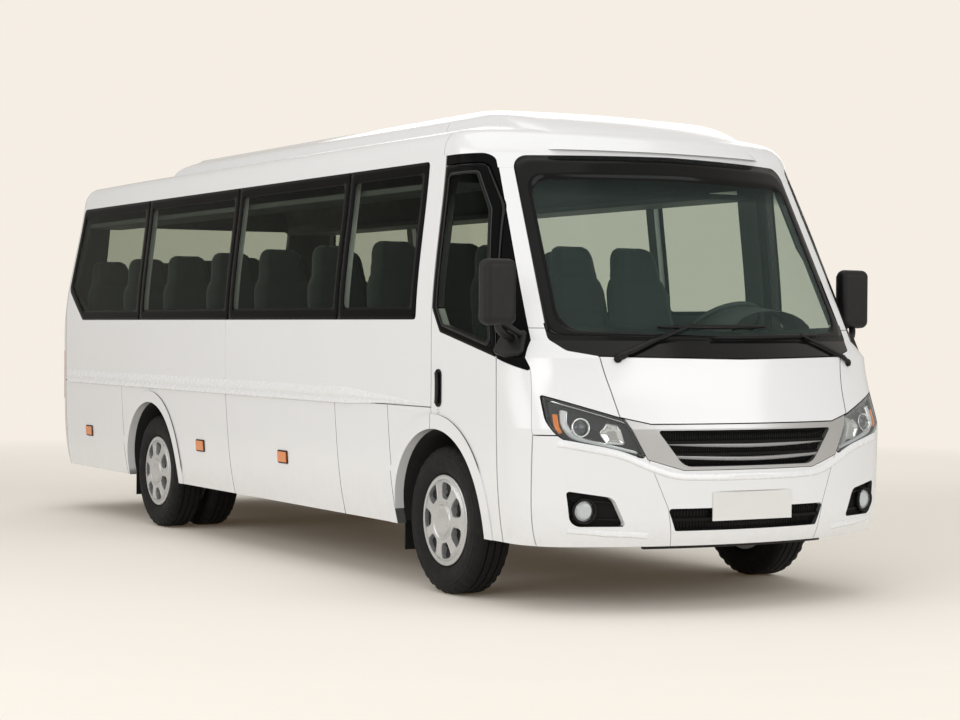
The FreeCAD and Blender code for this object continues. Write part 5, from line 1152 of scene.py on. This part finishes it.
def build_moulding():
    """Bright ledge under a soft fold along each side, running out towards the front door."""
    back, ahead, full = REAR - 0.375, FRONT + 1.395, FRONT + 2.3
    loops = []
    for step in range(73):
        y = back + (ahead - back) * step / 72
        size = min(1.0, max(0.03, (y - ahead) / (full - ahead)))
        loops.append([laid_out(side_between, (y, 0.990 + (z - 0.990) * size), lift * size)
                      for z, lift in MOULDING])
    sharpen(twin("side_moulding", *bar_mesh(loops), WHITE_SIMPLE), 50)


def bossed(finder, outline, rows, step=0.02, arc=7):
    """A closed form over an outline, from rows of (share towards the middle, lift)."""
    edge = ring(outline, side_counts(outline, step), arc)
    count = len(edge)
    centre = sum(edge, Vector((0, 0))) / count
    verts, faces = strip_mesh([[laid_out(finder, p.lerp(centre, share), lift) for p in edge]
                               for share, lift in rows])
    for row in (0, len(rows) - 1):
        fan(verts, faces, row * count, count, laid_out(finder, centre, rows[row][1]))
    return verts, faces


def plane_at(y0, z0):
    """A finder for the tangent plane of the right side at one spot."""
    place, normal = nearby(from_right, y0, z0)

    def on_plane(y, z):
        x = place.x - (normal.y * (y - place.y) + normal.z * (z - place.z)) / normal.x
        return Vector((x, y, z)), normal

    return on_plane


# ---- mirrors and wipers

MIRROR_WIDE = 0.182
MIRROR_TALL = 0.318
MIRROR_DEEP = 0.095


def mirror_glass(centre, low, high):
    """Slightly crowned glass in the rear face of a mirror head, between two height shares."""
    margin = 0.016
    back = centre.y + MIRROR_DEEP / 2
    foot = centre.z - MIRROR_TALL / 2 + margin
    tall = MIRROR_TALL - margin * 2
    half = MIRROR_WIDE / 2 - margin
    left, right = centre.x - half, centre.x + half
    low, high = foot + tall * low, foot + tall * high
    outline = [(left, low, 0.024), (right, low, 0.024), (right, high, 0.024), (left, high, 0.024)]
    edge = ring(outline, side_counts(outline, 0.03), 6)
    middle = sum(edge, Vector((0, 0))) / len(edge)
    loops = []
    for share, depth in ((0.0, -0.004), (0.0, 0.0006), (0.03, 0.0012), (0.5, 0.0018)):
        loops.append([Vector((p.lerp(middle, share).x, back + depth, p.lerp(middle, share).y))
                      for p in edge])
    verts, faces = strip_mesh(loops)
    fan(verts, faces, 3 * len(edge), len(edge), Vector((middle.x, back + 0.002, middle.y)))
    return verts, faces


def mirror_seam(centre):
    """Line where the two halves of a mirror head meet."""
    outline = [(centre.x + a * MIRROR_WIDE / 2, centre.z + b * MIRROR_TALL / 2, 0.038)
               for a, b in ((-1, -1), (1, -1), (1, 1), (-1, 1))]
    edge = ring(outline, side_counts(outline, 0.03), 8)
    middle = Vector((centre.x, centre.z))
    loops = []
    for grow, y in ((0.0, -0.0035), (0.0014, -0.002), (0.0014, 0.002), (0.0, 0.0035),
                    (-0.004, 0.0035), (-0.004, -0.0035)):
        loops.append([Vector((p.x + grow * (p - middle).normalized().x, centre.y + 0.006 + y,
                              p.y + grow * (p - middle).normalized().y)) for p in edge])
    return strip_mesh(loops + [loops[0]])


def build_mirrors():
    """Glasses, seam, arm and foot of the outside mirrors."""
    spots = (("right", Vector((-1.238, FRONT + 0.395, 1.556)), "root", 0.0),
             ("left", Vector((1.225, FRONT + 0.745, 1.556)), "door_left", 0.100))
    rows = [(0.0, -0.006), (0.0, 0.010), (0.03, 0.016), (0.10, 0.0205), (0.25, 0.0235),
            (0.6, 0.025), (0.85, 0.0253)]
    for name, centre, body, shift in spots:
        make(f"mirror_glass_{name}", *mirror_glass(centre, 0.30, 1.0), MIRROR, body)
        make(f"mirror_low_glass_{name}", *mirror_glass(centre, 0.0, 0.27), MIRROR, body)
        make(f"mirror_seam_{name}", *mirror_seam(centre), SATIN_BLACK, body)
        side = math.copysign(1, centre.x)
        outline = [(y + shift, z, 0.02) for y, z in ((-3.125, 1.365), (-3.232, 1.368),
                                                     (-3.285, 1.250), (-3.205, 1.238),
                                                     (-3.130, 1.262))]
        plane = plane_at(-3.19 + shift, 1.30)
        verts, faces = bossed(plane, outline, rows)
        start, normal = plane(-3.185 + shift, 1.330)
        start = start + normal * 0.012
        if side > 0:
            verts = [other_side(v) for v in verts]
            start = Vector(other_side(start))
        make(f"mirror_foot_{name}", verts, faces, BLACK, body)
        grip = Vector((centre.x, centre.y, centre.z - MIRROR_TALL * 0.46))
        path = [start, start.lerp(grip, 0.35) + Vector((side * 0.012, 0, -0.010)),
                start.lerp(grip, 0.75) + Vector((side * 0.010, 0, -0.014)), grip]
        make(f"mirror_bracket_{name}", *tube(curve(path, 18),
             [0.022 - 0.005 * i / 18 for i in range(19)], 16), BLACK, body)


WIPERS = (((-0.660, 1.237), (-0.500, 1.293), (-0.190, 1.401), (-0.383, 1.389), (0.260, 1.394)),
          ((0.806, 1.215), (0.665, 1.285), (0.505, 1.353), (0.634, 1.351), (-0.099, 1.335)))


def build_wipers():
    """Two arms that face each other on round pivots, with blades along the windscreen's foot."""
    for index, places in enumerate(WIPERS):
        pivot, elbow, joint, start, end = (Vector(place) for place in places)
        line = [start.lerp(end, share) for share in (0.0, 0.25, 0.5, 0.75, 1.0)]
        blade = make(f"wiper_blade_{index}", *ribbon(from_front, line,
                     lambda s: 0.004 + 0.005 * math.sin(math.pi * s), 0.0165, 0.006, 0.003, 36),
                     SATIN_BLACK)
        if index == 0:
            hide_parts("wipers")
        make(f"wiper_rubber_{index}", *ribbon(from_front, line, 0.0022, 0.007, 0.0012, 0.001, 36),
             RUBBER)
        make(f"wiper_arm_{index}", *ribbon(from_front,
             [pivot, elbow, elbow.lerp(joint, 0.5), joint], lambda s: 0.012 - 0.006 * s, 0.0185,
             0.0085, 0.003, 36), SATIN_BLACK)
        place, normal = nearby(from_front, pivot.x, pivot.y)
        cap = [(0.0, 0.020), (0.010, 0.020), (0.015, 0.017), (0.0185, 0.010), (0.019, 0.0)]
        make(f"wiper_pivot_{index}", *turned(place, normal, cap, 32), SATIN_BLACK)


# ---- seats

SEAT_WIDE = 0.415
SEAT_CUSHION = 0.800 + 0.0003 + 0.430
SEAT_LEAN = 0.150
SEAT_DEEP = 0.430
SEAT_PITCH = 0.790


def blob(grid):
    """A closed form from rows of closed loops, with both ends capped."""
    verts, faces = strip_mesh(grid)
    size = len(grid[0])
    for start in (0, (len(grid) - 1) * size):
        middle = sum((Vector(verts[start + i]) for i in range(size)), Vector()) / size
        fan(verts, faces, start, size, middle)
    return verts, faces


def squircle(half_a, half_b, power, count):
    points = []
    for step in range(count):
        angle = 2 * math.pi * step / count
        points.append((half_a * signed_power(math.cos(angle), power),
                       half_b * signed_power(math.sin(angle), power)))
    return points


def seat_back_form(tall):
    """Leaning back with shoulders, a narrower head and pinched seams, its top rear at y 0."""
    rows = []
    top = SEAT_CUSHION + tall
    foot = SEAT_CUSHION - 0.075
    levels = 46
    for row in range(levels + 1):
        share = row / levels
        z = foot + (top - foot) * share
        lean = -SEAT_LEAN * (1 - (z - SEAT_CUSHION) / tall)
        if share < 0.60:
            half = 0.196 + 0.009 * math.sin(math.pi * share / 0.60)
        else:
            t = min(1.0, (share - 0.60) / 0.22)
            half = 0.196 - 0.048 * (t * t * (3 - 2 * t)) - 0.016 * max(0.0, share - 0.82) / 0.18
        end = min(share / 0.045, (1 - share) / 0.11)
        rounding = math.sqrt(max(0.0, 1 - (1 - min(end, 1)) ** 2))
        half *= 0.66 + 0.34 * rounding
        thick = (0.052 - 0.012 * share) * (0.30 + 0.70 * rounding)
        for seam in (0.44, 0.74):
            if abs(share - seam) < 0.03:
                pinch = 1 - abs(share - seam) / 0.03
                thick -= 0.010 * pinch * pinch
                half -= 0.006 * pinch * pinch
        loop = []
        for a, b in squircle(half, thick, 0.55, 40):
            bolster = 0.0
            if b < 0:
                near = abs(a) / max(half, 0.001)
                bolster = -0.014 * max(0.0, 1 - abs(near - 0.72) / 0.28)
                if abs(near - 0.46) < 0.07:
                    bolster += 0.007 * (1 - abs(near - 0.46) / 0.07)
            loop.append(Vector((a, lean - 0.045 + b + bolster, z)))
        rows.append(loop)
    return rows


def seat_cushion_form():
    """Crowned cushion with a rolled front edge and two pinched seams."""
    rows = []
    front = -SEAT_LEAN - SEAT_DEEP
    back = -SEAT_LEAN + 0.02
    steps = 30
    for row in range(steps + 1):
        share = row / steps
        y = front + (back - front) * share
        end = min(share / 0.12, (1 - share) / 0.06, 1.0)
        rounding = math.sqrt(max(0.0, 1 - (1 - end) ** 2))
        half = 0.205 * (0.86 + 0.14 * rounding)
        tall = 0.052 * (0.30 + 0.70 * rounding)
        for seam in (0.30, 0.74):
            if abs(share - seam) < 0.035:
                pinch = 1 - abs(share - seam) / 0.035
                tall -= 0.006 * pinch * pinch
        loop = []
        for a, b in squircle(half, tall, 0.6, 36):
            crown = 0.0
            if b > 0:
                near = abs(a) / half
                crown = 0.008 * math.cos(math.pi / 2 * min(near, 1))
                crown += 0.010 * max(0.0, 1 - abs(near - 0.76) / 0.2)
            loop.append(Vector((a, y, SEAT_CUSHION - 0.062 + b + crown * 0.6)))
        rows.append(loop)
    return rows


def seat_frame_form():
    """Pedestal legs, foot rails and cushion rails of one seat."""
    verts = []
    faces = []
    middle = -SEAT_LEAN - SEAT_DEEP * 0.5
    floor = 0.8012
    under = SEAT_CUSHION - 0.112
    for x in (-0.13, 0.13):
        for way in (-1, 1):
            leg = [(x, middle + way * 0.085, floor + 0.02), (x, middle + way * 0.060, floor + 0.16),
                   (x, middle + way * 0.070, SEAT_CUSHION - 0.115)]
            add_mesh(verts, faces, *tube(leg, 0.016))
        for half, z, thick in ((0.100, floor + 0.012, 0.011), (0.18, under, 0.010)):
            add_mesh(verts, faces, *tube([(x, middle - half, z), (x, middle + half, z)], thick))
    add_mesh(verts, faces, *tube([(-0.13, middle, under), (0.13, middle, under)], 0.014))
    return verts, faces


def seat_spots():
    outer = 1.117 - 0.045 - 0.060 - SEAT_WIDE / 2
    inner = outer - SEAT_WIDE - 0.012
    spots = []
    for row in range(7):
        for x in (-outer, -inner, inner, outer):
            spots.append((x, FRONT + 2.371 + SEAT_PITCH * row))
    return spots, [(0.450, FRONT + 1.810), (-0.450, FRONT + 1.810)]


def seat_mesh(name, parts, look):
    verts = []
    faces = []
    for part in parts:
        add_mesh(verts, faces, *part)
    piece = make(name, verts, faces, look)
    mesh = piece.data
    bpy.data.objects.remove(piece)
    return mesh


def build_seats():
    """The seats of a group share one padded mesh; legs are left off over a wheel housing."""
    cushion = blob(seat_cushion_form())
    padded = {group: seat_mesh(f"{group}_pad", [cushion, blob(seat_back_form(tall))], CLOTH)
              for group, tall in (("passenger", 0.643), ("front", 0.612))}
    legs = seat_mesh("seat_leg", [seat_frame_form()], TRIM)
    housings = tree_of(["wheel_housings"])
    for group, spots in zip(("passenger", "front"), seat_spots()):
        node = f"{group}_seats"
        for index, (x, y) in enumerate(spots):
            piece = placed(f"{group}_seat_{index}", padded[group], (x, y, 0))
            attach(piece, "root")
            if index == 0:
                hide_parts(node)
            down = housings.ray_cast(Vector((x, y - SEAT_LEAN - SEAT_DEEP / 2, 1.3)),
                                     Vector((0, 0, -1)), 0.55)[0]
            if down is None or down.z < 0.82:
                leg = placed(f"{group}_seat_leg_{index}", legs, (x, y, 0))
                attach(leg, "root")


# ---- cabin

DRIVER = 0.45
HOOD_FOOT = 1.300
HOOD_HALF = 0.30
HOOD_TALL = 0.205


def build_cabin():
    """Steering wheel pad, instrument hood and inside mirror."""
    rake = math.radians(35)
    axis = Vector((0, math.sin(rake), math.cos(rake)))
    centre = Vector((DRIVER, FRONT + 0.870, 1.405))
    pad = [(-0.028, 0.062), (0.010, 0.066), (0.020, 0.060), (0.026, 0.045), (0.028, 0.0)]
    make("steering_pad", *turned(centre, axis, pad, 40), TRIM, "steering_wheel")
    hood = []
    for step in range(13):
        angle = math.pi * step / 12
        hood.append((DRIVER + HOOD_HALF * math.cos(angle),
                     HOOD_FOOT + HOOD_TALL * math.sin(angle) ** 0.8))
    loops = []
    for y, grow in ((-3.28, -0.02), (-3.10, 0.0), (-3.045, 0.004), (-3.045, -0.012),
                    (-3.10, -0.018)):
        loops.append([Vector((DRIVER + (x - DRIVER) * (1 + grow / HOOD_HALF), y,
                              HOOD_FOOT + (z - HOOD_FOOT) * (1 + grow / HOOD_TALL)))
                      for x, z in hood])
    verts = [v for loop in loops for v in loop]
    faces = []
    size = len(hood)
    for row in range(len(loops) - 1):
        for step in range(size - 1):
            a = row * size + step
            faces.append((a, a + 1, a + size + 1, a + size))
    piece = make("instrument_hood", verts, faces, TRIM)
    thick = piece.modifiers.new("thick", "SOLIDIFY")
    thick.thickness = 0.004
    outline = [(-0.125, 2.105, 0.03), (0.125, 2.105, 0.03), (0.125, 2.175, 0.03),
               (-0.125, 2.175, 0.03)]
    edge = ring(outline, side_counts(outline, 0.03), 6)
    middle = sum(edge, Vector((0, 0))) / len(edge)
    y = -2.86
    loops = []
    for share, depth in ((0.9, 0.024), (0.3, 0.022), (0.06, 0.014), (0.0, 0.006), (0.0, -0.004),
                         (0.05, -0.006), (0.9, -0.006)):
        loops.append([Vector((p.lerp(middle, share).x, y - depth, p.lerp(middle, share).y))
                      for p in edge])
    make("inside_mirror", *strip_mesh(loops), SATIN_BLACK)
    stem = curve([(0, -2.875, 2.16), (0, -2.90, 2.21), (0, -2.93, 2.262)], 8)
    make("inside_mirror_stem", *tube(stem, 0.008), SATIN_BLACK)


def build_valances():
    """Curved covers that close the luggage racks up to the ceiling, on their aisle side."""
    racks = tree_of(["luggage_racks"])
    low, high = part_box("luggage_racks")
    face = racks.ray_cast(Vector((0, 0.5, low.z + 0.015)), Vector((-1, 0, 0)), 2)[0].x
    loops = []
    for step in range(16):
        y = low.y + 0.01 + (high.y - low.y - 0.02) * step / 15
        shape = []
        for share in (0.0, 0.12, 0.3, 0.5, 0.7, 0.86, 1.0):
            x = face + 0.150 * (1 - math.cos(share * math.pi / 2))
            roof = HULL.ray_cast(Vector((x, y, high.z + 0.02)), Vector((0, 0, 1)), 0.6)[0]
            top = roof.z if roof is not None else 2.42
            z = high.z - 0.001 + (top - high.z - 0.003) * math.sin(share * math.pi / 2)
            shape.append(Vector((x, y, z)))
        back = [point + Vector((-0.006, 0, 0)) for point in reversed(shape)]
        loops.append(shape + back)
    twin("rack_cover", *bar_mesh(loops), TRIM)


# ---- camera, lamps and floor

# The camera that was solved from the photograph, which is 960 pixels wide
SENSOR = 36
FOCAL_PIXELS = 2088.537
PHOTO_WIDE = 960


def build_camera():
    data = bpy.data.cameras.new("camera")
    data.sensor_width = SENSOR
    data.lens = FOCAL_PIXELS * SENSOR / PHOTO_WIDE
    data.clip_end = 200
    camera = placed("camera", data)
    yaw, pitch, roll = 0.5170969, 0.0146990, 0.0069406
    ahead = Vector((math.sin(yaw) * math.cos(pitch), math.cos(yaw) * math.cos(pitch),
                    -math.sin(pitch)))
    right = ahead.cross(Vector((0, 0, 1))).normalized()
    up = right.cross(ahead)
    across = right * math.cos(roll) + up * math.sin(roll)
    upward = up * math.cos(roll) - right * math.sin(roll)
    turn = Matrix((across, upward, -ahead)).transposed()
    camera.matrix_world = Matrix.Translation((-6.252657, -11.993469, 1.376237)) @ turn.to_4x4()
    bpy.context.scene.camera = camera


def area_lamp(name, place, aim, size, power):
    data = bpy.data.lights.new(name, "AREA")
    data.shape = "RECTANGLE"
    data.size, data.size_y = size
    data.energy = power
    lamp = placed(name, data, place)
    lamp.rotation_mode = "QUATERNION"
    lamp.rotation_quaternion = (Vector(aim) - Vector(place)).to_track_quat("-Z", "Y")


CREAM = (0.92, 0.855, 0.775)


def build_world():
    """Cream where the camera looks, dimmer in reflections, and near white as a light."""
    world = bpy.data.worlds.new("world")
    bpy.context.scene.world = world
    world.use_nodes = True
    tree = world.node_tree
    light = tree.nodes["Background"]
    put(tree, light.inputs["Color"], (1.0, 0.985, 0.96))
    put(tree, light.inputs["Strength"], 0.55)
    seen, mirrored = (new_node(tree, "ShaderNodeBackground",
                               {"Color": CREAM, "Strength": strength}).outputs[0]
                      for strength in (1.0, 0.6))
    path = new_node(tree, "ShaderNodeLightPath").outputs
    either = new_node(tree, "ShaderNodeMath", {0: path["Is Camera Ray"],
                                               1: path["Is Transmission Ray"]},
                      operation="MAXIMUM")
    lights = new_node(tree, "ShaderNodeMixShader", {0: path["Is Glossy Ray"],
                                                    1: light.outputs[0], 2: mirrored})
    mix = new_node(tree, "ShaderNodeMixShader", {0: either.outputs[0], 1: lights.outputs[0],
                                                 2: seen})
    put(tree, tree.nodes["World Output"].inputs["Surface"], mix.outputs[0])


def build_floor():
    """A round floor that fades out into the cream, with a faint warm glow as painted bounce light
    in its shadows.
    """
    mesh = bpy.data.meshes.new("floor")
    made = bmesh.new()
    bmesh.ops.create_circle(made, cap_ends=True, segments=96, radius=40)
    made.to_mesh(mesh)
    made.free()
    # The floor glows faintly warm: painted bounce light that lifts and warms its shadows
    s = Shade("floor_stage", (0.86, 0.80, 0.725), 0.9, Specular_IOR_Level=0.0,
              Emission_Color=(1.0, 0.68, 0.38), Emission_Strength=0.045)
    cloud = s.noise(0.6, 3.0, 0.6)
    s.feed(Base_Color=s.mix(s.span(cloud, 0.3, 0.7), (0.85, 0.82, 0.762), (0.86, 0.83, 0.772)))
    far = s.node("ShaderNodeVectorMath", {0: s.place}, operation="LENGTH")
    fade = s.span(far.outputs["Value"], 5.5, 13.0)
    s.see_through(fade, s.bsdf.outputs[0], s.node("ShaderNodeBsdfTransparent").outputs[0])
    mesh.materials.append(s.mat)
    floor = placed("floor_stage", mesh, (0, 0, -0.0005))


def build_stage():
    build_world()
    build_floor()
    area_lamp("lamp_top", (-1.5, -2.0, 8.5), (0, 0, 0.5), (9, 11), 215)
    area_lamp("lamp_side", (-9.5, 0.5, 4.5), (0, 0, 1.2), (9, 5), 215)
    area_lamp("lamp_front", (3.0, -11.0, 4.5), (0, -2, 1.0), (8, 5), 250)
    area_lamp("lamp_corner", (-8.0, -9.5, 4.0), (-0.5, -3.5, 1.0), (6, 4), 210)
    area_lamp("lamp_back", (6.0, 7.0, 5.5), (0, 1, 1.0), (8, 5), 160)
    bpy.context.scene.view_settings.view_transform = "Standard"


for build in (build_wheels, build_side_borders, build_door_borders, build_screen_border,
              build_rear_border, build_headlamps, build_fog_lamps, build_grille, build_plate,
              build_handles, build_markers, build_tail_lamps, build_mirrors, build_wipers,
              build_seats, build_cabin, build_moulding, build_nose_lines, build_valances,
              build_camera, build_stage):
    build()
